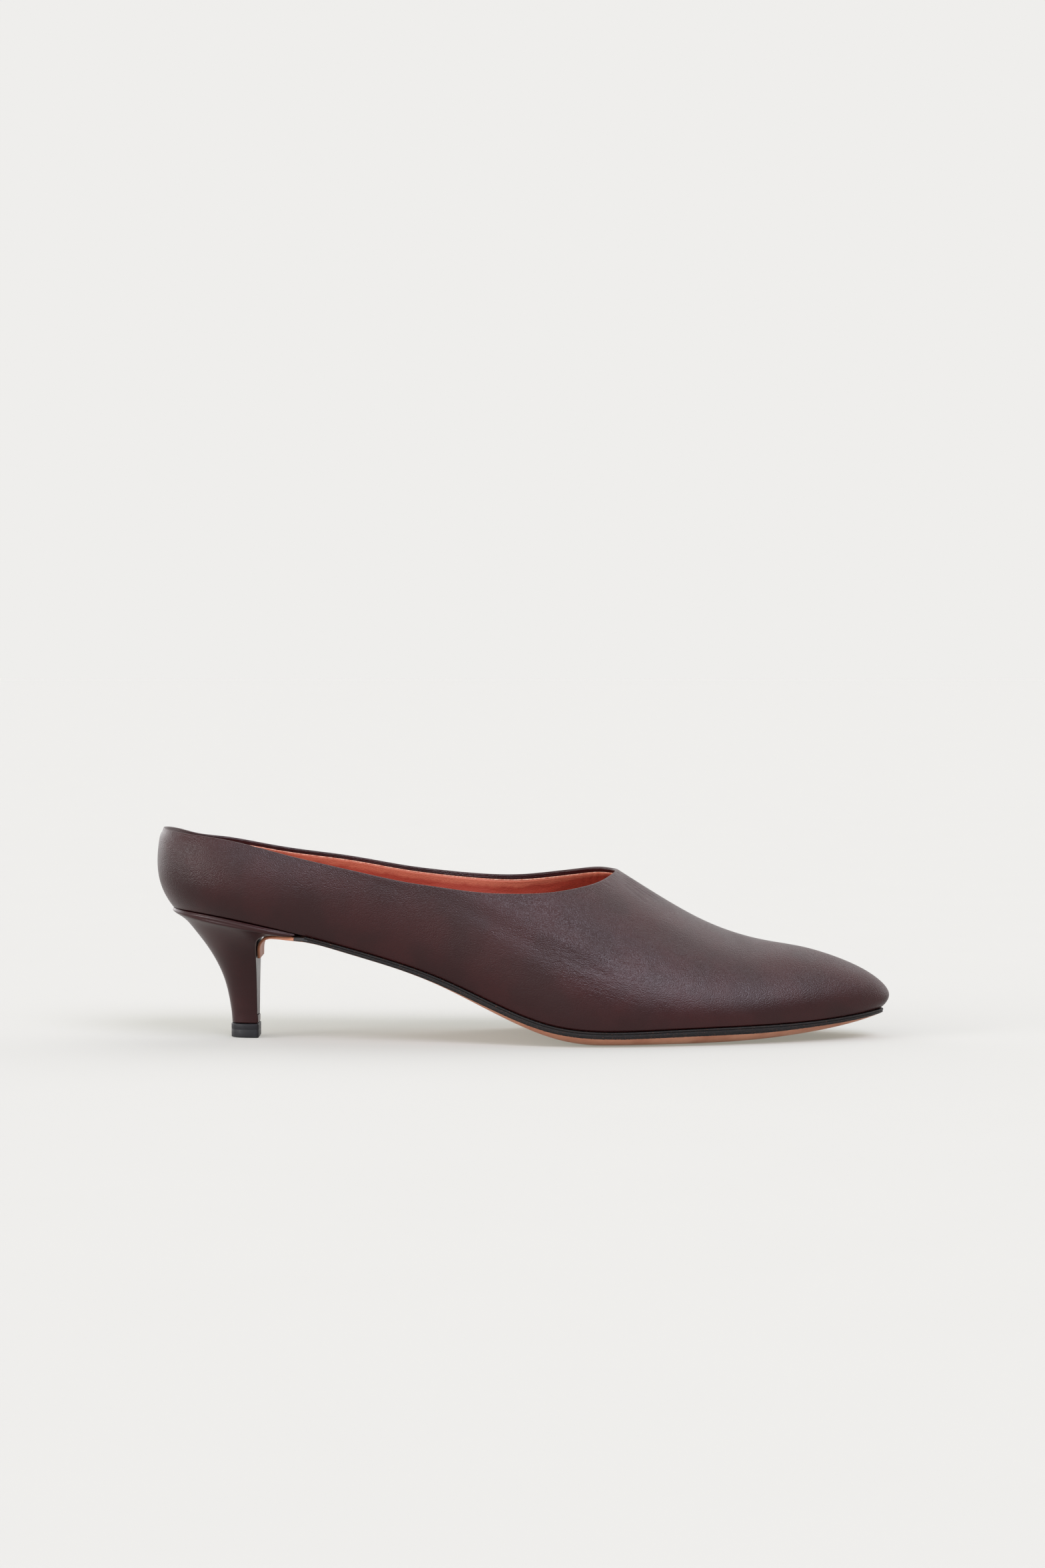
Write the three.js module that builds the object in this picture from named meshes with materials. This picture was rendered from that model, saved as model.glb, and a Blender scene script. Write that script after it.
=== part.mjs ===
// A right-foot mule on a kitten heel, in millimetres, +X to the toe, +Y to the inner side of the foot, +Z up.
// The upper is a hollow leather shell, open at the topline and underneath. The insole lies inside it,
// the outsole closes it below and turns down the breast of the heel, and the heel stands on a top piece.
import * as THREE from 'three';

// Driving dimensions of the last
const length = 250; // rear of the counter to the front of the toe
const ballWidth = 76.6; // feather line, at the ball
const seatWidth = 51.4; // feather line, at the heel seat
const seatHeight = 44.6; // floor to the rear edge of the seat
const featherAtBall = 5.0; // floor to the feather line, at the ball
const toeRise = 4.9; // how much higher the feather line is at the toe than at the ball
const throatAlong = length * 0.6272; // rear of the counter to the throat, 156.8
const throatRise = 52.0; // feather line to the throat
const counterHeight = 27.1; // feather line to the topline, at the back

// Driving dimensions of the pieces
const wall = 1.8; // leather and lining of the upper
const insoleThickness = 2.6;
const soleThickness = 5.0; // at the ball, under the gap
const edgeHeight = 2.5; // the dyed edge of the sole, above its bevel
const edgeOverhang = 0.7; // the sole edge stands this far outside the feather line
const edgeBead = 0.3; // how far the bead at the top of the edge stands out of it
const beadHeight = 0.8;
const bevelSlope = 3.6; // run of the bevel under the edge, for 1 of drop
const leastBevel = 0.03; // where the whole thickness is edge
const flapThickness = 0.9; // the outsole where it turns down the breast
const flapRadius = 5.6; // of the turn, on its heel side
const flapStart = length * 0.2; // rear of the counter to where the sole leaves the feather line, 50
const flapClearance = 1.5; // from there to the sole's next section
const flapDrop = 0.6; // the sole runs this far under the feather line before it turns
const flapEndHeight = seatHeight * 0.6166; // floor to the end of the flap, 27.5
const breastAlong = length * 0.1376; // rear of the counter to the breast of the heel, 34.4
const heelRim = 0.1; // the top of the heel stands this far outside the feather line
const tipAlong = length * 0.1004; // rear of the counter to the rear of the top piece, 25.1
const tipWidth = 12.4;
const tipHeight = 4.75;
const tipMargin = 0.35; // the top piece stands this far outside the heel
const tipLap = 0.1; // and this far in front of it
const tipCorner = 0.9; // radius of its two front corners
const tipRound = 0.62; // how full its rear is, as a share of its half width
const tipEdge = 0.35; // its worn edge
const tabHeight = 2.4; // the heel cover's turned end, at the foot of the breast
const tabThickness = 0.35;
const seamGap = 0.3; // between pieces that touch

// How finely the solids are faceted
const rearStations = 20;
const throatStations = 12;
const vampStations = 17;
const wallRows = 11;
const heelRoundSteps = 11;

// The last's stations, from the back to the toe. along is a share of the length, lateral and medial
// are half widths as shares of the width there, lift is a share of the seat's height above the ball
// and spring a share of the toe's rise.
const LAST = [
  { along: 0.0216, lateral: 0.0, medial: 0.0, lift: 1.0, spring: 0.0 },
  { along: 0.033, lateral: 0.224, medial: 0.224, lift: 0.994, spring: 0.0 },
  { along: 0.068, lateral: 0.386, medial: 0.382, lift: 0.97, spring: 0.0 },
  { along: 0.116, lateral: 0.467, medial: 0.459, lift: 0.918, spring: 0.0 },
  { along: 0.172, lateral: 0.498, medial: 0.473, lift: 0.84, spring: 0.0 },
  { along: 0.236, lateral: 0.497, medial: 0.441, lift: 0.739, spring: 0.0 },
  { along: 0.308, lateral: 0.48, medial: 0.39, lift: 0.612, spring: 0.0 },
  { along: 0.384, lateral: 0.459, medial: 0.366, lift: 0.45, spring: 0.0 },
  { along: 0.46, lateral: 0.461, medial: 0.392, lift: 0.236, spring: 0.0 },
  { along: 0.536, lateral: 0.484, medial: 0.452, lift: 0.057, spring: 0.0 },
  { along: 0.612, lateral: 0.492, medial: 0.501, lift: 0.0, spring: 0.03 },
  { along: 0.684, lateral: 0.469, medial: 0.51, lift: 0.0, spring: 0.11 },
  { along: 0.752, lateral: 0.42, medial: 0.474, lift: 0.0, spring: 0.21 },
  { along: 0.816, lateral: 0.356, medial: 0.407, lift: 0.0, spring: 0.28 },
  { along: 0.872, lateral: 0.284, medial: 0.324, lift: 0.0, spring: 0.38 },
  { along: 0.92, lateral: 0.209, medial: 0.233, lift: 0.0, spring: 0.56 },
  { along: 0.958, lateral: 0.134, medial: 0.146, lift: 0.0, spring: 0.78 },
  { along: 0.981, lateral: 0.065, medial: 0.069, lift: 0.0, spring: 0.95 },
  { along: 0.9896, lateral: 0.0, medial: 0.0, lift: 0.0, spring: 1.0 },
];
const tipStation = LAST.length - 1;

// The arch over the foot, for the stations from firstArch on. ahead is how far the ridge leans in front
// of its feather point, a share of the length, height is a share of the throat's rise, lean is how far
// the ridge lies to the inner side, a share of the ball width. up, flare and crown shape the arch.
const firstArch = 7;
const ARCH = [
  { ahead: 0.0, height: 1.38, lean: 0.056, up: 0.46, flare: 0.42, crown: 0.5 },
  { ahead: 0.0, height: 1.31, lean: 0.054, up: 0.46, flare: 0.34, crown: 0.5 },
  { ahead: 0.0, height: 1.226, lean: 0.05, up: 0.47, flare: 0.2, crown: 0.48 },
  { ahead: 0.0, height: 1.045, lean: 0.044, up: 0.47, flare: 0.1, crown: 0.455 },
  { ahead: 0.001, height: 0.819, lean: 0.036, up: 0.47, flare: 0.07, crown: 0.46 },
  { ahead: 0.003, height: 0.626, lean: 0.028, up: 0.48, flare: 0.07, crown: 0.48 },
  { ahead: 0.005, height: 0.516, lean: 0.021, up: 0.5, flare: 0.08, crown: 0.5 },
  { ahead: 0.008, height: 0.456, lean: 0.014, up: 0.52, flare: 0.1, crown: 0.52 },
  { ahead: 0.013, height: 0.362, lean: 0.008, up: 0.53, flare: 0.13, crown: 0.54 },
  { ahead: 0.018, height: 0.24, lean: 0.003, up: 0.54, flare: 0.17, crown: 0.55 },
  { ahead: 0.0192, height: 0.105, lean: 0.001, up: 0.55, flare: 0.2, crown: 0.55 },
  { ahead: 0.0, height: 0.0, lean: 0.0, up: 0.55, flare: 0.2, crown: 0.55 },
];

// The side walls behind the vamp: how far they stand outside the feather line a third of the way up,
// two thirds up and at the topline, as shares of the seat width.
const WALLS = {
  lateral: [
    { along: 0.0, low: 0.146, mid: 0.104, top: 0.092 },
    { along: 0.04, low: 0.142, mid: 0.1, top: 0.063 },
    { along: 0.1, low: 0.125, mid: 0.085, top: 0.01 },
    { along: 0.18, low: 0.1, mid: 0.075, top: 0.0 },
    { along: 0.28, low: 0.08, mid: 0.065, top: 0.02 },
    { along: 0.38, low: 0.08, mid: 0.05, top: 0.003 },
    { along: 0.5, low: 0.08, mid: 0.05, top: -0.04 },
  ],
  medial: [
    { along: 0.0, low: 0.146, mid: 0.104, top: 0.092 },
    { along: 0.04, low: 0.142, mid: 0.1, top: 0.063 },
    { along: 0.1, low: 0.13, mid: 0.09, top: 0.01 },
    { along: 0.18, low: 0.125, mid: 0.105, top: 0.02 },
    { along: 0.28, low: 0.145, mid: 0.135, top: 0.065 },
    { along: 0.38, low: 0.14, mid: 0.125, top: 0.055 },
    { along: 0.5, low: 0.12, mid: 0.1, top: 0.02 },
  ],
};
const wallsEnd = 0.34; // the walls turn into the arch between these shares of the length
const archBegins = 0.47;

// The topline: its height above the feather line, as a share of a line that rises from the counter's
// height to the throat's. along is a share of the way to the throat.
const TOPLINE = [
  { along: 0.0, lateral: 1.012, medial: 1.012 },
  { along: 0.03, lateral: 0.992, medial: 0.978 },
  { along: 0.07, lateral: 0.978, medial: 0.928 },
  { along: 0.14, lateral: 0.976, medial: 0.915 },
  { along: 0.22, lateral: 0.967, medial: 0.918 },
  { along: 0.3, lateral: 0.948, medial: 0.941 },
  { along: 0.38, lateral: 0.945, medial: 0.985 },
  { along: 0.46, lateral: 0.948, medial: 1.016 },
  { along: 0.54, lateral: 0.955, medial: 1.04 },
  { along: 0.63, lateral: 1.003, medial: 1.094 },
  { along: 0.72, lateral: 1.065, medial: 1.158 },
  { along: 0.79, lateral: 1.098, medial: 1.189 },
  { along: 0.86, lateral: 1.085, medial: 1.186 },
  { along: 0.92, lateral: 1.045, medial: 1.137 },
  { along: 0.965, lateral: 1.01, medial: 1.075 },
  { along: 1.0, lateral: 1.0, medial: 1.0 },
];

// The outsole: its full thickness and its dyed edge, as shares of the sole thickness and edge height.
const SOLE = [
  { along: 0.19, thickness: 0.22, edge: 0.4 },
  { along: 0.26, thickness: 0.36, edge: 0.64 },
  { along: 0.33, thickness: 0.4, edge: 0.72 },
  { along: 0.4, thickness: 0.54, edge: 0.84 },
  { along: 0.48, thickness: 0.84, edge: 0.98 },
  { along: 0.55, thickness: 1.0, edge: 1.0 },
  { along: 0.62, thickness: 1.04, edge: 0.98 },
  { along: 0.7, thickness: 1.12, edge: 1.02 },
  { along: 0.77, thickness: 1.16, edge: 1.04 },
  { along: 0.83, thickness: 1.08, edge: 0.88 },
  { along: 0.88, thickness: 0.96, edge: 0.7 },
  { along: 0.93, thickness: 0.76, edge: 0.62 },
  { along: 0.97, thickness: 0.5, edge: 0.56 },
  { along: 0.99, thickness: 0.3, edge: 0.5 },
];

// The profile of the sole's edge, from its top face to the bottom. inset is a share of the bead, counted
// back from the overhang. bead, band and bevel are shares of the heights of those three, and run is a
// share of the bevel's width.
const EDGE = [
  { inset: 1.0, bead: 0.0, band: 0.0, bevel: 0.0, run: 0.0 },
  { inset: 0.0, bead: 0.4, band: 0.0, bevel: 0.0, run: 0.0 },
  { inset: 1.0, bead: 1.0, band: 0.0, bevel: 0.0, run: 0.0 },
  { inset: 0.3, bead: 1.0, band: 1.0, bevel: 0.0, run: 0.0 },
  { inset: 0.3, bead: 1.0, band: 1.0, bevel: 0.62, run: 0.3 },
  { inset: 0.3, bead: 1.0, band: 1.0, bevel: 1.0, run: 1.0 },
];

// The outsole's line from the waist to the end of its flap. turn counts quarter turns down the breast,
// and half is a share of the seat's half width.
const FLAP = [
  { turn: 0.0, half: 0.8 },
  { turn: 0.17, half: 0.74 },
  { turn: 0.33, half: 0.66 },
  { turn: 0.5, half: 0.58 },
  { turn: 0.67, half: 0.51 },
  { turn: 0.83, half: 0.46 },
  { turn: 1.0, half: 0.43 },
];
const flapEndHalf = 0.39;
const flapRootHalf = 0.94;
const rootSag = 0.2; // how far the sole has come back to the feather line there

// The heel's sections, from under the seat to the foot. rear is a share of the way from the seat's rear
// to the top piece's rear, front a share of the length of the wedge ahead of the breast, both heights
// are shares of the seat's height, and half is a share of the seat width.
const HEEL = [
  { rear: 0.0, rearHeight: 0.978, front: 1.0, frontHeight: 0.816, half: 0.502 },
  { rear: 0.06, rearHeight: 0.956, front: 0.708, frontHeight: 0.808, half: 0.492 },
  { rear: 0.213, rearHeight: 0.908, front: 0.415, frontHeight: 0.811, half: 0.448 },
  { rear: 0.381, rearHeight: 0.82, front: 0.09, frontHeight: 0.776, half: 0.364 },
  { rear: 0.577, rearHeight: 0.701, front: 0.0, frontHeight: 0.685, half: 0.278 },
  { rear: 0.741, rearHeight: 0.578, front: 0.0, frontHeight: 0.565, half: 0.215 },
  { rear: 0.861, rearHeight: 0.455, front: 0.0, frontHeight: 0.445, half: 0.172 },
  { rear: 0.936, rearHeight: 0.33, front: 0.0, frontHeight: 0.325, half: 0.145 },
  { rear: 0.975, rearHeight: 0.23, front: 0.0, frontHeight: 0.23, half: 0.13 },
  { rear: 0.99, rearHeight: 0.18, front: 0.0, frontHeight: 0.18, half: 0.122 },
];

// Small tools
const vec = (x, y, z) => new THREE.Vector3(x, y, z);
const mix = (a, b, t) => a + (b - a) * t;
const ease = (t) => {
  const s = THREE.MathUtils.clamp(t, 0, 1);
  return s * s * (3 - 2 * s);
};

// A smooth curve through a table's values: a cubic spline, with level ends where asked.
function smoothCurve(knots, values, levelStart = false, levelEnd = false) {
  const n = knots.length;
  const step = (i) => knots[i + 1] - knots[i];
  const slope = (i) => (values[i + 1] - values[i]) / step(i);
  const diagonal = new Array(n).fill(1);
  const above = new Array(n).fill(0);
  const right = new Array(n).fill(0);
  if (levelStart) {
    diagonal[0] = 2 * step(0);
    above[0] = step(0);
    right[0] = 6 * slope(0);
  }
  for (let i = 1; i < n; i++) {
    const last = i === n - 1;
    if (last && !levelEnd) {
      right[i] = 0;
      break;
    }
    const below = step(i - 1);
    diagonal[i] = 2 * (below + (last ? 0 : step(i)));
    above[i] = last ? 0 : step(i);
    right[i] = 6 * ((last ? 0 : slope(i)) - slope(i - 1));
    const factor = below / diagonal[i - 1];
    diagonal[i] -= factor * above[i - 1];
    right[i] -= factor * right[i - 1];
  }
  const bend = new Array(n).fill(0);
  for (let i = n - 1; i >= 0; i--) {
    bend[i] = (right[i] - (i < n - 1 ? above[i] * bend[i + 1] : 0)) / diagonal[i];
  }
  return (x) => {
    const at = THREE.MathUtils.clamp(x, knots[0], knots[n - 1]);
    let i = 0;
    while (i < n - 2 && at > knots[i + 1]) i++;
    const h = step(i);
    const a = (knots[i + 1] - at) / h;
    const b = 1 - a;
    const curved = ((a ** 3 - a) * bend[i] + (b ** 3 - b) * bend[i + 1]) * h * h / 6;
    return a * values[i] + b * values[i + 1] + curved;
  };
}

const byRow = (table, key, first = 0, levelStart = false, levelEnd = false) =>
  smoothCurve(table.map((_, i) => i + first), table.map((row) => row[key]), levelStart, levelEnd);
const byAlong = (table, key) => smoothCurve(table.map((row) => row.along), table.map((row) => row[key]));

// The feather line, where the last's sides meet its bottom. q counts the stations of LAST.
const alongCurve = byRow(LAST, 'along', 0, true, true);
const halfCurve = { lateral: byRow(LAST, 'lateral'), medial: byRow(LAST, 'medial') };
const liftCurve = byRow(LAST, 'lift', 0, true, true);
const springCurve = byRow(LAST, 'spring', 0, true, true);
const sideSign = { lateral: -1, medial: 1 };

const alongAt = (q) => length * alongCurve(q);
const widthBlendStart = 0.2;
const widthBlendEnd = 0.6;
const widthAt = (share) =>
  mix(seatWidth, ballWidth, ease((share - widthBlendStart) / (widthBlendEnd - widthBlendStart)));
const halfAt = (q, side) => halfCurve[side](q) * widthAt(alongCurve(q));
const featherHeight = (q) =>
  featherAtBall + (seatHeight - featherAtBall) * liftCurve(q) + toeRise * springCurve(q);

function feather(q, side) {
  return vec(alongAt(q), sideSign[side] * halfAt(q, side), featherHeight(q));
}

// The feather line's outward direction, seen from above.
function outward(q, side) {
  const nudge = 0.001;
  const a = feather(Math.max(0, q - nudge), side);
  const b = feather(Math.min(tipStation, q + nudge), side);
  const turn = -sideSign[side];
  return vec(turn * (b.y - a.y), -turn * (b.x - a.x), 0).normalize();
}

function stationAt(along) {
  let low = 0;
  let high = tipStation;
  for (let i = 0; i < 50; i++) {
    const middle = (low + high) / 2;
    if (alongAt(middle) < along) low = middle;
    else high = middle;
  }
  return (low + high) / 2;
}

// The upper's outer face: one cubic curve for each station and side, from the feather line up.
const archCurve = {};
for (const key of ['ahead', 'height', 'lean', 'up', 'flare', 'crown']) {
  archCurve[key] = byRow(ARCH, key, firstArch);
}
const wallCurves = (rows) => ['low', 'mid', 'top'].map((key) => byAlong(rows, key));
const wallCurve = { lateral: wallCurves(WALLS.lateral), medial: wallCurves(WALLS.medial) };
const toplineCurve = { lateral: byAlong(TOPLINE, 'lateral'), medial: byAlong(TOPLINE, 'medial') };
const throatStation = stationAt(throatAlong);
const throatArch = archCurve.height(throatStation);

function ridge(q) {
  const q0 = Math.max(q, firstArch);
  return vec(
    alongAt(q) + length * archCurve.ahead(q0),
    ballWidth * archCurve.lean(q0),
    featherHeight(q) + throatRise * archCurve.height(q0) / throatArch,
  );
}

function toplineRise(along, side) {
  const share = THREE.MathUtils.clamp(along / throatAlong, 0, 1);
  return mix(counterHeight, throatRise, share ** 4) * toplineCurve[side](share);
}

function archOver(q, side) {
  const foot = feather(q, side);
  const top = ridge(q);
  const q0 = Math.max(q, firstArch);
  const half = halfAt(q, side);
  const low = foot.clone().addScaledVector(outward(q, side), archCurve.flare(q0) * half);
  low.x += (top.x - foot.x) * archCurve.up(q0);
  low.z += (top.z - foot.z) * archCurve.up(q0);
  const high = top.clone();
  high.y += sideSign[side] * archCurve.crown(q0) * half;
  return [foot, low, high, top];
}

function onCurve(p, t) {
  const s = 1 - t;
  return p[0].clone().multiplyScalar(s ** 3)
    .addScaledVector(p[1], 3 * s * s * t)
    .addScaledVector(p[2], 3 * s * t * t)
    .addScaledVector(p[3], t ** 3);
}

// The part of a curve below t, as a curve of its own.
function firstPart(p, t) {
  const a = p[0].clone().lerp(p[1], t);
  const b = p[1].clone().lerp(p[2], t);
  const c = p[2].clone().lerp(p[3], t);
  const ab = a.clone().lerp(b, t);
  const bc = b.clone().lerp(c, t);
  return [p[0].clone(), a, ab, ab.clone().lerp(bc, t)];
}

// How far up the arch the topline crosses it.
function toplineCrossing(q, side) {
  if (q >= throatStation) return 1;
  const arch = archOver(q, side);
  const target = featherHeight(q) + toplineRise(alongAt(q), side);
  let low = 0;
  let high = 1;
  for (let i = 0; i < 40; i++) {
    const middle = (low + high) / 2;
    if (onCurve(arch, middle).z < target) low = middle;
    else high = middle;
  }
  return high;
}

function sideWall(q, side) {
  const foot = feather(q, side);
  const out = outward(q, side);
  const share = alongCurve(q);
  const [low, mid, top] = wallCurve[side].map((curve) => seatWidth * curve(share));
  const rise = toplineRise(foot.x + out.x * top, side);
  return [
    foot,
    foot.clone().addScaledVector(out, low).add(vec(0, 0, rise / 3)),
    foot.clone().addScaledVector(out, mid).add(vec(0, 0, rise * 2 / 3)),
    foot.clone().addScaledVector(out, top).add(vec(0, 0, rise)),
  ];
}

function upperCurve(q, side) {
  if (q >= throatStation) return archOver(q, side);
  const blend = ease((alongCurve(q) - wallsEnd) / (archBegins - wallsEnd));
  if (blend === 0) return sideWall(q, side);
  const arch = firstPart(archOver(q, side), toplineCrossing(q, side));
  if (blend === 1) return arch;
  return sideWall(q, side).map((point, i) => point.lerp(arch[i], blend));
}

// Stations for the solids. Behind the throat the upper's columns lean forward as they rise, so that
// their tops are evenly spaced round the turn of the topline.
const fanStation = stationAt(archBegins * length);
const stations = [];
for (let i = 0; i < rearStations; i++) stations.push(fanStation * i / rearStations);
for (let i = 0; i < throatStations; i++) stations.push(mix(fanStation, throatStation, i / throatStations));
for (let i = 0; i <= vampStations; i++) stations.push(mix(throatStation, tipStation, i / vampStations));

function evenTops(side) {
  const samples = 240;
  const tops = [];
  let travelled = 0;
  let before = null;
  for (let i = 0; i <= samples; i++) {
    const q = mix(throatStation, fanStation, (1 - i / samples) ** 2);
    const point = onCurve(archOver(q, side), toplineCrossing(q, side));
    if (before) travelled += point.distanceTo(before);
    before = point;
    tops.push({ q, travelled });
  }
  return (share) => tops.find((top) => top.travelled >= travelled * share - 1e-6).q;
}
const topStation = { lateral: evenTops('lateral'), medial: evenTops('medial') };

// A column of the upper's outer face, from its foot at station q to the topline or the ridge.
function upperColumn(q, side, rows) {
  const column = [];
  const fanned = q > fanStation && q < throatStation;
  const top = fanned ? topStation[side]((q - fanStation) / (throatStation - fanStation)) : q;
  const crossing = fanned ? toplineCrossing(top, side) : 1;
  const curve = upperCurve(q, side);
  for (let j = 0; j <= rows; j++) {
    const t = j / rows;
    column.push(onCurve(fanned ? archOver(mix(q, top, t * t), side) : curve, t * crossing));
  }
  return column;
}

const throatIndex = rearStations + throatStations;
const tipIndex = stations.length - 1;
const SIDES = ['lateral', 'medial'];

// Collects points and faces of one closed solid.
class Solid {
  constructor() {
    this.points = [];
    this.faces = [];
  }

  add(point) {
    this.points.push(point);
    return this.points.length - 1;
  }

  // A triangle, or none where two of its corners are the same point.
  triangle(a, b, c, flip = false) {
    if (a === b || b === c || c === a) return;
    this.faces.push(flip ? [a, c, b] : [a, b, c]);
  }

  // Four corners, split along the shorter diagonal.
  quad(a, b, c, d, flip = false) {
    const [pa, pb, pc, pd] = [a, b, c, d].map((i) => this.points[i]);
    if (pb.distanceTo(pd) < pa.distanceTo(pc)) {
      this.triangle(a, b, d, flip);
      this.triangle(b, c, d, flip);
    } else {
      this.triangle(a, b, c, flip);
      this.triangle(a, c, d, flip);
    }
  }

  normals() {
    const sums = this.points.map(() => vec(0, 0, 0));
    for (const face of this.faces) {
      const [a, b, c] = face.map((i) => this.points[i]);
      const area = b.clone().sub(a).cross(c.clone().sub(a));
      for (const i of face) sums[i].add(area);
    }
    return sums.map((sum) => sum.normalize());
  }

  geometry() {
    const geometry = new THREE.BufferGeometry();
    const numbers = this.points.flatMap((point) => point.toArray());
    geometry.setAttribute('position', new THREE.Float32BufferAttribute(numbers, 3));
    geometry.setIndex(this.faces.flat());
    geometry.computeVertexNormals();
    return geometry;
  }
}

// The upper: an outer face, the same face moved in by the wall, and the two edges between them.
function buildUpper() {
  const solid = new Solid();
  const outer = { lateral: [], medial: [] };
  for (const side of SIDES) {
    stations.forEach((q, k) => {
      const points = upperColumn(q, side, wallRows);
      const column = [];
      for (let j = 0; j <= wallRows; j++) {
        const shared = side === 'medial' && (k === 0 || (j === wallRows && k >= throatIndex));
        if (k === tipIndex) {
          column.push(side === 'medial' ? outer.lateral[k][0] : column[0] ?? solid.add(points[0]));
        } else {
          column.push(shared ? outer.lateral[k][j] : solid.add(points[j]));
        }
      }
      outer[side].push(column);
    });
  }
  for (const side of SIDES) {
    for (let k = 0; k < tipIndex; k++) {
      for (let j = 0; j < wallRows; j++) {
        const [a, b] = [outer[side][k], outer[side][k + 1]];
        solid.quad(a[j], b[j], b[j + 1], a[j + 1], side === 'medial');
      }
    }
  }
  // The inner face, with its lower edge level with the outer one's
  const normals = solid.normals();
  const outerFaces = [...solid.faces];
  const inner = solid.points.map((point, i) => point.clone().addScaledVector(normals[i], -wall));
  for (const side of SIDES) {
    for (const column of outer[side]) {
      const i = column[0];
      const level = vec(normals[i].x, normals[i].y, 0);
      const reach = wall / level.length();
      inner[i] = solid.points[i].clone().addScaledVector(level.normalize(), -reach);
    }
  }
  const count = solid.points.length;
  inner.forEach((point) => solid.add(point));
  for (const [a, b, c] of outerFaces) solid.triangle(a + count, c + count, b + count);
  for (const side of SIDES) {
    const flip = side === 'medial';
    for (let k = 0; k < tipIndex; k++) {
      const [a, b] = [outer[side][k][0], outer[side][k + 1][0]];
      solid.quad(a, a + count, b + count, b, flip);
    }
    for (let k = 0; k < throatIndex; k++) {
      const [a, b] = [outer[side][k][wallRows], outer[side][k + 1][wallRows]];
      solid.quad(a, b, b + count, a + count, flip);
    }
  }
  solid.points.forEach((point) => { point.z += seamGap / 2; });
  return { solid, rim: (side, k) => solid.points[outer[side][k][0] + count] };
}

// Closes a ring of columns, one for each station and side, with strips across the shoe.
function acrossStrips(solid, ring, row, from, to, flip) {
  for (let k = from; k < to; k++) {
    const [near, far] = [ring.lateral, ring.medial];
    solid.quad(near[k][row], far[k][row], far[k + 1][row], near[k + 1][row], flip);
  }
}

// The insole fills the bottom of the upper, and its edge leans out as the wall does.
function buildInsole(upper) {
  const solid = new Solid();
  const ring = { lateral: [], medial: [] };
  const edgeLean = 0.6; // share of the wall's own lean, so that the edge stays clear of it
  const tipShy = 0.5; // the lean is read this many stations behind the tip, where the wall still has one
  for (const side of SIDES) {
    stations.forEach((q, k) => {
      if (side === 'medial' && (k === 0 || k === tipIndex)) {
        ring.medial.push(ring.lateral[k]);
        return;
      }
      const out = outward(q, side);
      const near = Math.min(q, tipStation - tipShy);
      const curve = upperCurve(near, side);
      const rise = curve[1].clone().sub(curve[0]);
      const lean = Math.max(0, rise.dot(out) / rise.z) * edgeLean;
      const low = upper.rim(side, k).clone().addScaledVector(out, -seamGap);
      const high = low.clone().addScaledVector(out, lean * insoleThickness);
      high.z += insoleThickness;
      ring[side].push([solid.add(low), solid.add(high)]);
    });
  }
  for (const side of SIDES) {
    for (let k = 0; k < tipIndex; k++) {
      const [a, b] = [ring[side][k], ring[side][k + 1]];
      solid.quad(a[0], b[0], b[1], a[1], side === 'medial');
    }
  }
  acrossStrips(solid, ring, 0, 0, tipIndex, false);
  acrossStrips(solid, ring, 1, 0, tipIndex, true);
  return solid;
}

// The outsole's edge, from its top face to the end of the bevel: how far out and how far down.
const thicknessCurve = byAlong(SOLE, 'thickness');
const edgeCurve = byAlong(SOLE, 'edge');

// Points of the edge: how far out and how far down each lies.
function edgeProfile(total, edge) {
  const bead = Math.min(beadHeight, edge / 2);
  const bevel = Math.max(total - edge, leastBevel);
  return EDGE.map((row) => ({
    out: edgeOverhang - edgeBead * row.inset - bevel * bevelSlope * row.run,
    down: bead * row.bead + (edge - bead) * row.band + bevel * row.bevel,
  }));
}

// Seen from the side, the sole follows the feather line, runs level under the front of the heel and
// turns down the breast.
const flapFace = breastAlong + seamGap;
const flapStation = stationAt(flapStart);
const flapRoot = featherHeight(flapStation) - seamGap / 2;
const flapLevel = flapRoot - flapDrop;
const turnCentre = vec(flapFace + flapRadius, 0, flapLevel - flapRadius);

function flapLine() {
  const line = [];
  line.push({
    x: (flapStart + turnCentre.x) / 2,
    z: mix(flapLevel, flapRoot, rootSag),
    tilt: 0,
    half: flapRootHalf,
  });
  for (const row of FLAP) {
    const tilt = Math.PI / 2 * row.turn;
    line.push({
      x: turnCentre.x - flapRadius * Math.sin(tilt),
      z: turnCentre.z + flapRadius * Math.cos(tilt),
      tilt,
      half: row.half,
    });
  }
  line.push({ x: flapFace, z: flapEndHeight, tilt: Math.PI / 2, half: flapEndHalf });
  return line;
}

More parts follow.
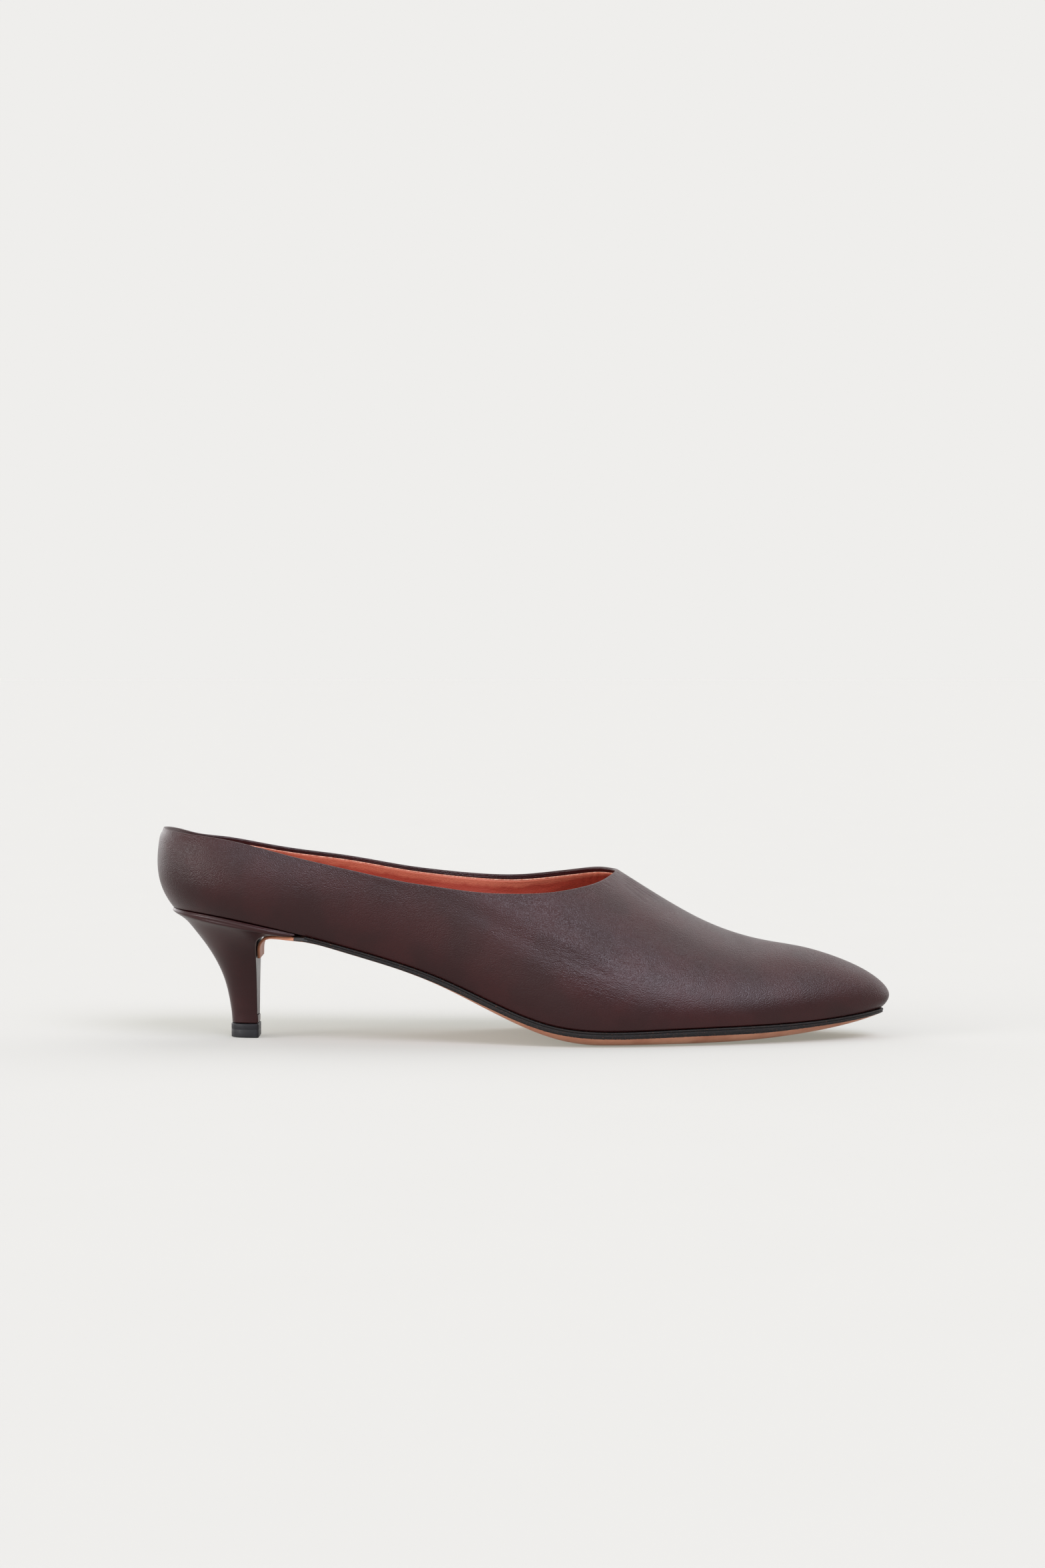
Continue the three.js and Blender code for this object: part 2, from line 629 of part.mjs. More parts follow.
function buildOutsole() {
  const solid = new Solid();
  const ring = { lateral: [], medial: [] };
  const flap = flapLine().reverse();
  const mainStations = stations.filter((q) => alongAt(q) > flapStart + flapClearance);
  for (const side of SIDES) {
    for (const p of flap) {
      const down = vec(Math.sin(p.tilt), 0, -Math.cos(p.tilt));
      const out = vec(0, sideSign[side], 0);
      const half = p.half * seatWidth / 2 - edgeOverhang;
      ring[side].push(edgeProfile(flapThickness, flapThickness).map((edge) =>
        solid.add(vec(p.x, 0, p.z).addScaledVector(out, half + edge.out).addScaledVector(down, edge.down))));
    }
    mainStations.forEach((q) => {
      const k = ring[side].length;
      if (side === 'medial' && q === tipStation) {
        ring.medial.push(ring.lateral[k]);
        return;
      }
      const top = feather(q, side);
      top.z -= seamGap / 2;
      const share = alongCurve(q);
      const edge = edgeHeight * edgeCurve(share);
      const total = Math.min(Math.max(soleThickness * thicknessCurve(share), edge), top.z);
      const out = outward(q, side);
      ring[side].push(edgeProfile(total, Math.min(edge, total)).map((row) =>
        solid.add(top.clone().addScaledVector(out, row.out).add(vec(0, 0, -row.down)))));
    });
  }
  const rows = ring.lateral[0].length;
  const last = ring.lateral.length - 1;
  for (const side of SIDES) {
    const flip = side === 'medial';
    for (let k = 0; k < last; k++) {
      for (let j = 0; j < rows - 1; j++) {
        const [a, b] = [ring[side][k], ring[side][k + 1]];
        solid.quad(a[j + 1], b[j + 1], b[j], a[j], flip);
      }
    }
  }
  acrossStrips(solid, ring, 0, 0, last, true);
  acrossStrips(solid, ring, rows - 1, 0, last, false);
  for (let j = 0; j < rows - 1; j++) {
    solid.quad(ring.lateral[0][j], ring.medial[0][j], ring.medial[0][j + 1], ring.lateral[0][j + 1]);
  }
  return solid;
}

// The heel: sections from the seat down to the top piece, each round at the rear and straight at the breast.
function heelSections() {
  const foot = tipHeight + seamGap;
  const seatRear = alongAt(0) - heelRim;
  const tipRear = tipAlong + tipMargin;
  const wedge = flapStart - flapClearance - breastAlong;
  const rows = HEEL.map((row) => ({
    rear: mix(seatRear, tipRear, row.rear),
    rearHeight: seatHeight * row.rearHeight,
    front: breastAlong + wedge * row.front,
    frontHeight: seatHeight * row.frontHeight,
    half: seatWidth * row.half,
  }));
  for (const height of [foot + tabHeight, foot]) {
    rows.push({
      rear: tipRear,
      rearHeight: height,
      front: breastAlong + tabThickness,
      frontHeight: height,
      half: tipWidth / 2 - tipMargin,
    });
  }
  return rows;
}

const heelRoundness = 2 / 2.3; // exponent of the rounded rear, a little squarer than an ellipse

function buildHeel() {
  const solid = new Solid();
  const loops = [];
  const addLoop = (place) => {
    const loop = [];
    for (let i = -heelRoundSteps; i <= heelRoundSteps; i++) {
      const angle = Math.PI / 2 * Math.abs(i) / heelRoundSteps;
      loop.push(solid.add(place(angle, i < 0 ? 'medial' : 'lateral')));
    }
    loops.push(loop);
  };
  const rows = heelSections();
  const seat = rows[0];
  // The seat's own loop follows the feather line
  addLoop((angle, side) => {
    const x = mix(seat.front, seat.rear, Math.cos(angle) ** heelRoundness);
    const q = stationAt(Math.max(x, alongAt(0)));
    const half = angle === 0 ? 0 : halfAt(q, side) + heelRim * ease(angle * 2);
    return vec(x, sideSign[side] * half, featherHeight(q) - seamGap / 2);
  });
  for (const row of rows) {
    addLoop((angle, side) => {
      const back = Math.cos(angle) ** heelRoundness;
      const x = mix(row.front, row.rear, back);
      const z = mix(row.frontHeight, row.rearHeight, (row.front - x) / (row.front - row.rear));
      return vec(x, sideSign[side] * row.half * Math.sin(angle) ** heelRoundness, z);
    });
  }
  const count = 2 * heelRoundSteps + 1;
  for (let r = 0; r < loops.length - 1; r++) {
    for (let i = 0; i < count; i++) {
      const next = (i + 1) % count;
      solid.quad(loops[r][i], loops[r][next], loops[r + 1][next], loops[r + 1][i], true);
    }
  }
  for (const [loop, flip] of [[loops[0], false], [loops.at(-1), true]]) {
    for (let i = 0; i < heelRoundSteps; i++) {
      const [a, b] = [heelRoundSteps - i, heelRoundSteps + i];
      solid.quad(loop[a], loop[b], loop[b + 1], loop[a - 1], flip);
    }
  }
  return solid;
}

// The top piece: a D-shaped plug, round at the rear and straight at the front, with a rounded foot edge.
function buildTopPiece() {
  const half = tipWidth / 2;
  const front = breastAlong + tabThickness + tipLap;
  const side = front - tipCorner;
  const flank = tipAlong + half / 2;
  const outline = new THREE.Shape();
  outline.moveTo(front, half - tipCorner);
  outline.quadraticCurveTo(front, half, side, half);
  outline.bezierCurveTo(flank, half, tipAlong, half * tipRound, tipAlong, 0);
  outline.bezierCurveTo(tipAlong, -half * tipRound, flank, -half, side, -half);
  outline.quadraticCurveTo(front, -half, front, tipCorner - half);
  outline.closePath();
  const geometry = new THREE.ExtrudeGeometry(outline, {
    depth: tipHeight - 2 * tipEdge,
    bevelEnabled: true,
    bevelThickness: tipEdge,
    bevelSize: tipEdge,
    bevelOffset: -tipEdge,
    bevelSegments: 2,
    curveSegments: 10,
  });
  geometry.translate(0, 0, tipEdge);
  return geometry;
}

const leather = new THREE.MeshStandardMaterial({ color: 0x3f2a2b, roughness: 0.42, metalness: 0 });
const lining = new THREE.MeshStandardMaterial({ color: 0xb4563c, roughness: 0.6, metalness: 0 });
const soleLeather = new THREE.MeshStandardMaterial({ color: 0xb27a5c, roughness: 0.6, metalness: 0 });
const rubber = new THREE.MeshStandardMaterial({ color: 0x26262a, roughness: 0.5, metalness: 0 });

function part(name, geometry, material) {
  const mesh = new THREE.Mesh(geometry, material);
  mesh.name = name;
  return mesh;
}

const upper = buildUpper();
const shoe = new THREE.Group();
shoe.add(
  part('upper', upper.solid.geometry(), leather),
  part('insole', buildInsole(upper).geometry(), lining),
  part('outsole', buildOutsole().geometry(), soleLeather),
  part('heel', buildHeel().geometry(), leather),
  part('top_piece', buildTopPiece(), rubber),
);

// The origin lies on the floor, under the middle of the shoe.
const box = new THREE.Box3().setFromObject(shoe, true);
const middle = box.getCenter(vec(0, 0, 0));
shoe.position.set(-middle.x, -middle.y, -box.min.z);

export default shoe;
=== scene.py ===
"""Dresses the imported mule: a right-foot slip-on of smooth dark leather on a kitten heel.

The shapes follow the same sizes and tables as the CAD part, drawn much finer. Lengths inside the
shape functions are millimetres from the rear of the counter, and every mesh is in metres.
"""

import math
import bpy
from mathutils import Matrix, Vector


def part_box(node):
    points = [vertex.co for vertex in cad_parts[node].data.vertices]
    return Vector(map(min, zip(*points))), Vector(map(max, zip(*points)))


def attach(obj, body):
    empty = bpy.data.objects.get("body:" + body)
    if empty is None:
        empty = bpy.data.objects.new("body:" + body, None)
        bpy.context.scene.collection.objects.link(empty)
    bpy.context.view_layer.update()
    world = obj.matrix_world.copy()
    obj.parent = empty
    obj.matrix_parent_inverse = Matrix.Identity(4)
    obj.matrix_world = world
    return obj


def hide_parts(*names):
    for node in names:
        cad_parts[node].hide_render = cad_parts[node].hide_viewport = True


bl_info = {
    "name": "Kitten heel mule",
    "version": (1, 0, 0),
    "blender": (4, 5, 0),
    "location": "View3D > Sidebar > Mule",
    "description": "Dresses the packed mule in leather, with its lining, sole, heel cover and top piece",
    "category": "Object",
}

import bpy
import numpy as np

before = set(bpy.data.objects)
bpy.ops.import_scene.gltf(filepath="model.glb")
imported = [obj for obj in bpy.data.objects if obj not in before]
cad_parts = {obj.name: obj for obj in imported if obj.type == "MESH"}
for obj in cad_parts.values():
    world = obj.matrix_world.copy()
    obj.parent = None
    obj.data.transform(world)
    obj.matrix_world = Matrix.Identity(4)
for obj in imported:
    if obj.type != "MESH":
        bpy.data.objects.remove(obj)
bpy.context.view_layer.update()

MM = 0.001
PHOTO_HEIGHT = 2352
SIDES = ("lateral", "medial")
SIGN = {"lateral": -1.0, "medial": 1.0}

# The last's stations, from the back to the toe. along is a share of the length, lateral and medial are
# half widths as shares of the width there, lift is a share of the seat's height above the ball and
# spring a share of the toe's rise.
LAST = [
    dict(along=0.0216, lateral=0.0, medial=0.0, lift=1.0, spring=0.0),
    dict(along=0.033, lateral=0.224, medial=0.224, lift=0.994, spring=0.0),
    dict(along=0.068, lateral=0.386, medial=0.382, lift=0.97, spring=0.0),
    dict(along=0.116, lateral=0.467, medial=0.459, lift=0.918, spring=0.0),
    dict(along=0.172, lateral=0.498, medial=0.473, lift=0.84, spring=0.0),
    dict(along=0.236, lateral=0.497, medial=0.441, lift=0.739, spring=0.0),
    dict(along=0.308, lateral=0.48, medial=0.39, lift=0.612, spring=0.0),
    dict(along=0.384, lateral=0.459, medial=0.366, lift=0.45, spring=0.0),
    dict(along=0.46, lateral=0.461, medial=0.392, lift=0.236, spring=0.0),
    dict(along=0.536, lateral=0.484, medial=0.452, lift=0.057, spring=0.0),
    dict(along=0.612, lateral=0.492, medial=0.501, lift=0.0, spring=0.03),
    dict(along=0.684, lateral=0.469, medial=0.51, lift=0.0, spring=0.11),
    dict(along=0.752, lateral=0.42, medial=0.474, lift=0.0, spring=0.21),
    dict(along=0.816, lateral=0.356, medial=0.407, lift=0.0, spring=0.28),
    dict(along=0.872, lateral=0.284, medial=0.324, lift=0.0, spring=0.38),
    dict(along=0.92, lateral=0.209, medial=0.233, lift=0.0, spring=0.56),
    dict(along=0.958, lateral=0.134, medial=0.146, lift=0.0, spring=0.78),
    dict(along=0.981, lateral=0.065, medial=0.069, lift=0.0, spring=0.95),
    dict(along=0.9896, lateral=0.0, medial=0.0, lift=0.0, spring=1.0),
]
TIP = len(LAST) - 1

# The arch over the foot, for the stations from FIRST_ARCH on: how far the ridge leans ahead of its
# feather point, how high and how far to the inner side it lies, and the shape of the curve up to it.
FIRST_ARCH = 7
ARCH = [
    dict(ahead=0.0, height=1.38, lean=0.056, up=0.46, flare=0.42, crown=0.5),
    dict(ahead=0.0, height=1.31, lean=0.054, up=0.46, flare=0.34, crown=0.5),
    dict(ahead=0.0, height=1.226, lean=0.05, up=0.47, flare=0.2, crown=0.48),
    dict(ahead=0.0, height=1.045, lean=0.044, up=0.47, flare=0.1, crown=0.455),
    dict(ahead=0.001, height=0.819, lean=0.036, up=0.47, flare=0.07, crown=0.46),
    dict(ahead=0.003, height=0.626, lean=0.028, up=0.48, flare=0.07, crown=0.48),
    dict(ahead=0.005, height=0.516, lean=0.021, up=0.5, flare=0.08, crown=0.5),
    dict(ahead=0.008, height=0.456, lean=0.014, up=0.52, flare=0.1, crown=0.52),
    dict(ahead=0.013, height=0.362, lean=0.008, up=0.53, flare=0.13, crown=0.54),
    dict(ahead=0.018, height=0.24, lean=0.003, up=0.54, flare=0.17, crown=0.55),
    dict(ahead=0.0192, height=0.105, lean=0.001, up=0.55, flare=0.2, crown=0.55),
    dict(ahead=0.0, height=0.0, lean=0.0, up=0.55, flare=0.2, crown=0.55),
]

# The side walls behind the vamp: how far they stand outside the feather line a third of the way up,
# two thirds up and at the topline, as shares of the seat width.
WALLS = {
    "lateral": [
        dict(along=0.0, low=0.146, mid=0.104, top=0.092),
        dict(along=0.04, low=0.142, mid=0.1, top=0.063),
        dict(along=0.1, low=0.125, mid=0.085, top=0.01),
        dict(along=0.18, low=0.1, mid=0.075, top=0.0),
        dict(along=0.28, low=0.08, mid=0.065, top=0.02),
        dict(along=0.38, low=0.08, mid=0.05, top=0.003),
        dict(along=0.5, low=0.08, mid=0.05, top=-0.04),
    ],
    "medial": [
        dict(along=0.0, low=0.146, mid=0.104, top=0.092),
        dict(along=0.04, low=0.142, mid=0.1, top=0.063),
        dict(along=0.1, low=0.13, mid=0.09, top=0.01),
        dict(along=0.18, low=0.125, mid=0.105, top=0.02),
        dict(along=0.28, low=0.145, mid=0.135, top=0.065),
        dict(along=0.38, low=0.14, mid=0.125, top=0.055),
        dict(along=0.5, low=0.12, mid=0.1, top=0.02),
    ],
}

# The topline's height above the feather line, as a share of a line that rises from the counter to
# the throat. along is a share of the way to the throat.
TOPLINE = [
    dict(along=0.0, lateral=1.012, medial=1.012),
    dict(along=0.03, lateral=0.992, medial=0.978),
    dict(along=0.07, lateral=0.978, medial=0.928),
    dict(along=0.14, lateral=0.976, medial=0.915),
    dict(along=0.22, lateral=0.967, medial=0.918),
    dict(along=0.3, lateral=0.948, medial=0.941),
    dict(along=0.38, lateral=0.945, medial=0.985),
    dict(along=0.46, lateral=0.948, medial=1.016),
    dict(along=0.54, lateral=0.955, medial=1.04),
    dict(along=0.63, lateral=1.003, medial=1.094),
    dict(along=0.72, lateral=1.065, medial=1.158),
    dict(along=0.79, lateral=1.098, medial=1.189),
    dict(along=0.86, lateral=1.085, medial=1.186),
    dict(along=0.92, lateral=1.045, medial=1.137),
    dict(along=0.965, lateral=1.01, medial=1.075),
    dict(along=1.0, lateral=1.0, medial=1.0),
]

# The outsole's full thickness and its dyed edge, as shares of the sole thickness and edge height.
SOLE = [
    dict(along=0.19, thickness=0.22, edge=0.4),
    dict(along=0.26, thickness=0.36, edge=0.64),
    dict(along=0.33, thickness=0.4, edge=0.72),
    dict(along=0.4, thickness=0.54, edge=0.84),
    dict(along=0.48, thickness=0.84, edge=0.86),
    dict(along=0.55, thickness=1.0, edge=0.84),
    dict(along=0.62, thickness=1.04, edge=0.84),
    dict(along=0.7, thickness=1.12, edge=0.88),
    dict(along=0.77, thickness=1.16, edge=0.92),
    dict(along=0.83, thickness=1.08, edge=0.88),
    dict(along=0.88, thickness=0.96, edge=0.7),
    dict(along=0.93, thickness=0.76, edge=0.62),
    dict(along=0.97, thickness=0.5, edge=0.56),
    dict(along=0.99, thickness=0.3, edge=0.5),
]

# Where the sole turns down the breast: turn counts quarter turns, half is a share of the seat's half width.
FLAP = [
    dict(turn=0.0, half=0.8),
    dict(turn=0.17, half=0.74),
    dict(turn=0.33, half=0.66),
    dict(turn=0.5, half=0.58),
    dict(turn=0.67, half=0.51),
    dict(turn=0.83, half=0.46),
    dict(turn=1.0, half=0.43),
]

# The heel's sections, from under the seat to the foot. rear is a share of the way from the seat's rear
# to the top piece's rear, front a share of the wedge ahead of the breast, the heights are shares of
# the seat's height and half is a share of the seat width.
HEEL = [
    dict(rear=0.0, rear_height=0.978, front=1.0, front_height=0.816, half=0.502),
    dict(rear=0.06, rear_height=0.956, front=0.708, front_height=0.808, half=0.492),
    dict(rear=0.213, rear_height=0.908, front=0.415, front_height=0.811, half=0.448),
    dict(rear=0.381, rear_height=0.82, front=0.09, front_height=0.776, half=0.364),
    dict(rear=0.577, rear_height=0.701, front=0.0, front_height=0.685, half=0.278),
    dict(rear=0.741, rear_height=0.578, front=0.0, front_height=0.565, half=0.215),
    dict(rear=0.861, rear_height=0.455, front=0.0, front_height=0.445, half=0.172),
    dict(rear=0.936, rear_height=0.33, front=0.0, front_height=0.325, half=0.145),
    dict(rear=0.975, rear_height=0.23, front=0.0, front_height=0.23, half=0.13),
    dict(rear=0.99, rear_height=0.18, front=0.0, front_height=0.18, half=0.122),
]

# Creases of the upper, seen from the side: the points each one runs through, as distance from the rear
# and height above the floor in millimetres, with its depth and half width. A ridge has a negative depth.
CREASES = {
    "lateral": [
        dict(run=[(96, 50), (112, 43), (128, 34), (143, 27)], depth=0.22, width=2.6),
        dict(run=[(106, 51), (121, 44.5), (138, 35), (154, 27.5)], depth=-0.2, width=2.8),
        dict(run=[(115, 53), (131, 45), (148, 36), (166, 29)], depth=0.2, width=2.6),
        dict(run=[(137, 30.5), (146, 26.5), (156, 23)], depth=0.2, width=1.1),
        dict(run=[(133, 35), (143, 30), (151, 26.5)], depth=0.16, width=1.0),
        dict(run=[(148, 37.5), (152, 35.6), (157, 35)], depth=0.16, width=0.9),
        dict(run=[(150, 33), (162, 28.5), (176, 25)], depth=0.14, width=1.3),
        dict(run=[(158, 44), (170, 37), (184, 31)], depth=0.14, width=2.4),
        dict(run=[(60, 62), (74, 57), (88, 51.5)], depth=0.14, width=2.4),
    ],
    "medial": [
        dict(run=[(100, 52), (116, 44), (132, 35), (147, 28)], depth=0.24, width=2.6),
        dict(run=[(112, 54), (128, 45), (145, 36), (160, 29)], depth=-0.2, width=2.6),
        dict(run=[(128, 52), (144, 42), (162, 33)], depth=0.2, width=2.2),
        dict(run=[(140, 33), (151, 28), (163, 24)], depth=0.18, width=1.2),
        dict(run=[(156, 42), (168, 35), (182, 30)], depth=0.16, width=2.0),
        dict(run=[(62, 60), (78, 55), (92, 50)], depth=0.14, width=2.4),
    ],
}

# Folds that fan out of the throat, over the ridge: how far each lies from the ridge at the throat and
# at its far end, how long it is, its depth and its half width, in millimetres.
THROAT_FOLDS = [
    dict(start=3.0, end=4.4, length=15.0, depth=0.16, width=0.6),
    dict(start=4.6, end=6.8, length=18.0, depth=0.25, width=0.75),
    dict(start=6.4, end=9.4, length=17.0, depth=0.28, width=0.75),
    dict(start=8.4, end=12.2, length=15.0, depth=0.21, width=0.75),
    dict(start=10.8, end=15.8, length=13.0, depth=0.14, width=0.8),
]


def length(name, description, millimetres):
    """A length of the shoe that a user may change."""
    return bpy.props.FloatProperty(
        name=name, description=description, default=millimetres * MM, min=0.0, precision=5, unit="LENGTH"
    )


def linear(red, green, blue):
    """A colour given as 0 to 255 on a screen, as the linear light that a shader works in."""
    shares = np.array((red, green, blue)) / 255.0
    light = np.where(shares <= 0.04045, shares / 12.92, ((shares + 0.055) / 1.055) ** 2.4)
    return tuple(float(value) for value in light)


def colour(name, description, red, green, blue):
    """A colour that a user may change."""
    shade = linear(red, green, blue)
    return bpy.props.FloatVectorProperty(
        name=name, description=description, default=shade, min=0.0, max=1.0, subtype="COLOR"
    )


class MuleSizes(bpy.types.PropertyGroup):
    """Sizes of the shoe."""

    length: length("Length", "Rear of the counter to the front of the toe", 250)
    ball_width: length("Ball width", "Width of the feather line at the ball", 76.6)
    seat_width: length("Seat width", "Width of the feather line at the heel seat", 51.4)
    seat_height: length("Seat height", "Floor to the rear edge of the seat", 44.6)
    feather_at_ball: length("Feather at ball", "Floor to the feather line at the ball", 5.0)
    toe_rise: length("Toe rise", "How much higher the feather line is at the toe", 4.9)
    throat_along: length("Throat", "Rear of the counter to the throat", 156.8)
    throat_rise: length("Throat rise", "Feather line to the throat", 52.0)
    counter_height: length("Counter height", "Feather line to the topline at the back", 27.1)
    fold_radius: length("Topline fold", "Radius of the turned edge of the upper", 0.62)
    facing: length("Facing", "How far the turned leather shows inside the topline", 0.8)
    lining_thickness: length("Lining", "Thickness of the lining at its cut edge", 0.4)
    sock_thickness: length("Sock", "Thickness of the insole and its sock", 2.6)
    sole_thickness: length("Sole", "Thickness of the sole at the ball", 5.0)
    edge_height: length("Sole edge", "Height of the dyed edge of the sole", 2.5)
    edge_overhang: length("Sole overhang", "How far the sole edge stands outside the feather line", 0.7)
    bead_radius: length("Welt bead", "Radius of the bead round the top of the sole edge", 0.36)
    flap_thickness: length("Flap", "Thickness of the sole where it turns down the breast", 0.9)
    flap_radius: length("Flap turn", "Radius of the sole's turn down the breast", 5.6)
    flap_start: length("Flap start", "Rear of the counter to where the sole leaves the feather line", 50)
    flap_end: length("Flap end", "Floor to the end of the flap", 27.5)
    breast_along: length("Breast", "Rear of the counter to the breast of the heel", 34.4)
    heel_rim: length("Heel rim", "How far the top of the heel stands outside the feather line", 0.1)
    tip_along: length("Top piece", "Rear of the counter to the rear of the top piece", 25.1)
    tip_width: length("Top piece width", "Width of the top piece", 12.4)
    tip_height: length("Top piece height", "Height of the top piece", 4.75)
    tip_margin: length("Top piece margin", "How far the top piece stands outside the heel", 0.35)
    tip_edge: length("Top piece edge", "Radius of the top piece's worn edges", 0.4)
    tab_height: length("Breast tab", "Height of the heel cover's turned end at the foot", 2.4)
    tab_thickness: length("Tab thickness", "Thickness of the turned end", 0.35)
    seam_gap: length("Seam gap", "Gap between pieces that touch", 0.3)


class MuleColours(bpy.types.PropertyGroup):
    """Colours of the shoe and its stage."""

    leather: colour("Leather", "The upper and the heel cover", 47, 14, 15)
    leather_deep: colour("Leather, deep", "The darker patches of the leather", 37, 10, 11)
    # The lining's two colours are a lit and a shaded copy: the upper strip's colour is painted light, the
    # deep one is painted shade further down inside the shoe and on the sock.
    lining: colour("Lining", "The lining's upper strip", 184, 102, 78)
    lining_painted_shade: colour("Lining, deep", "The lining and the sock further down", 150, 58, 42)
    # The cut edge's colour is partly its own raw paleness and partly a painted highlight where the edge
    # faces up.
    lining_edge: colour("Lining edge", "The cut edge of the lining", 220, 170, 146)
    sole: colour("Sole", "The sole's bottom", 188, 128, 98)
    sole_deep: colour("Sole, deep", "Patches of the sole's bottom", 164, 102, 74)
    dye: colour("Edge dye", "The sole's dyed edge", 19, 17, 17)
    rubber: colour("Rubber", "The top piece", 24, 24, 27)
    floor: colour("Floor", "The matt floor", 155, 154, 153)
    opening: colour("Opening", "The tent low down on the photographer's side", 176, 175, 175)
    backdrop: colour("Backdrop", "What is behind and around the shoe", 239, 238, 236)


# Small tools
def mix(a, b, t):
    """A share t of the way from a to b."""
    return a + (b - a) * t


def ease(t):
    """Rises smoothly from 0 to 1 while t does."""
    t = np.clip(t, 0.0, 1.0)
    return t * t * (3 - 2 * t)


def bell(distance, width):
    """1 at no distance, fading out over about the width."""
    return np.exp(-((distance / width) ** 2))


def unit(vectors):
    """Vectors brought to length 1."""
    return vectors / np.maximum(np.linalg.norm(vectors, axis=-1, keepdims=True), 1e-12)


def spread(values):
    """Lets one number for each point multiply its three coordinates."""
    return np.asarray(values)[..., None]


def smooth_curve(knots, values, level_start=False, level_end=False):
    """A cubic spline through a table's values, with level ends where asked."""
    knots, values = np.asarray(knots, float), np.asarray(values, float)
    step = np.diff(knots)
    slope = np.diff(values) / step
    count = len(knots)
    system, right = np.eye(count), np.zeros(count)
    if level_start:
        system[0, :2] = 2 * step[0], step[0]
        right[0] = 6 * slope[0]
    for i in range(1, count - 1):
        system[i, i - 1 : i + 2] = step[i - 1], 2 * (step[i - 1] + step[i]), step[i]
        right[i] = 6 * (slope[i] - slope[i - 1])
    if level_end:
        system[-1, -2:] = step[-1], 2 * step[-1]
        right[-1] = -6 * slope[-1]
    bend = np.linalg.solve(system, right)

    def curve(x):
        at = np.clip(np.asarray(x, float), knots[0], knots[-1])
        i = np.clip(np.searchsorted(knots, at, side="right") - 1, 0, count - 2)
        h = step[i]
        a = (knots[i + 1] - at) / h
        b = 1 - a
        curved = ((a**3 - a) * bend[i] + (b**3 - b) * bend[i + 1]) * h * h / 6
        return a * values[i] + b * values[i + 1] + curved

    return curve


def by_row(table, key, first=0, level_start=False, level_end=False):
    """A column of a table as a curve over the row's number."""
    rows = [first + i for i in range(len(table))]
    return smooth_curve(rows, [row[key] for row in table], level_start, level_end)


def by_along(table, key):
    """A column of a table as a curve over its along column."""
    return smooth_curve([row["along"] for row in table], [row[key] for row in table])


def on_curve(p, t):
    """Points at t on the curve with the four control points p."""
    s, t = spread(1 - np.asarray(t, float)), spread(t)
    return p[0] * s**3 + p[1] * (3 * s * s * t) + p[2] * (3 * s * t * t) + p[3] * t**3


def first_part(p, t):
    """The part of a curve below t, as a curve of its own."""
    t = spread(t)
    a, b, c = mix(p[0], p[1], t), mix(p[1], p[2], t), mix(p[2], p[3], t)
    ab, bc = mix(a, b, t), mix(b, c, t)
    return [p[0], a, ab, mix(ab, bc, t)]


def travelled(points):
    """Distance along each row of points, from the first one."""
    steps = np.linalg.norm(np.diff(points, axis=0), axis=-1)
    return np.concatenate([np.zeros_like(steps[:1]), np.cumsum(steps, axis=0)])


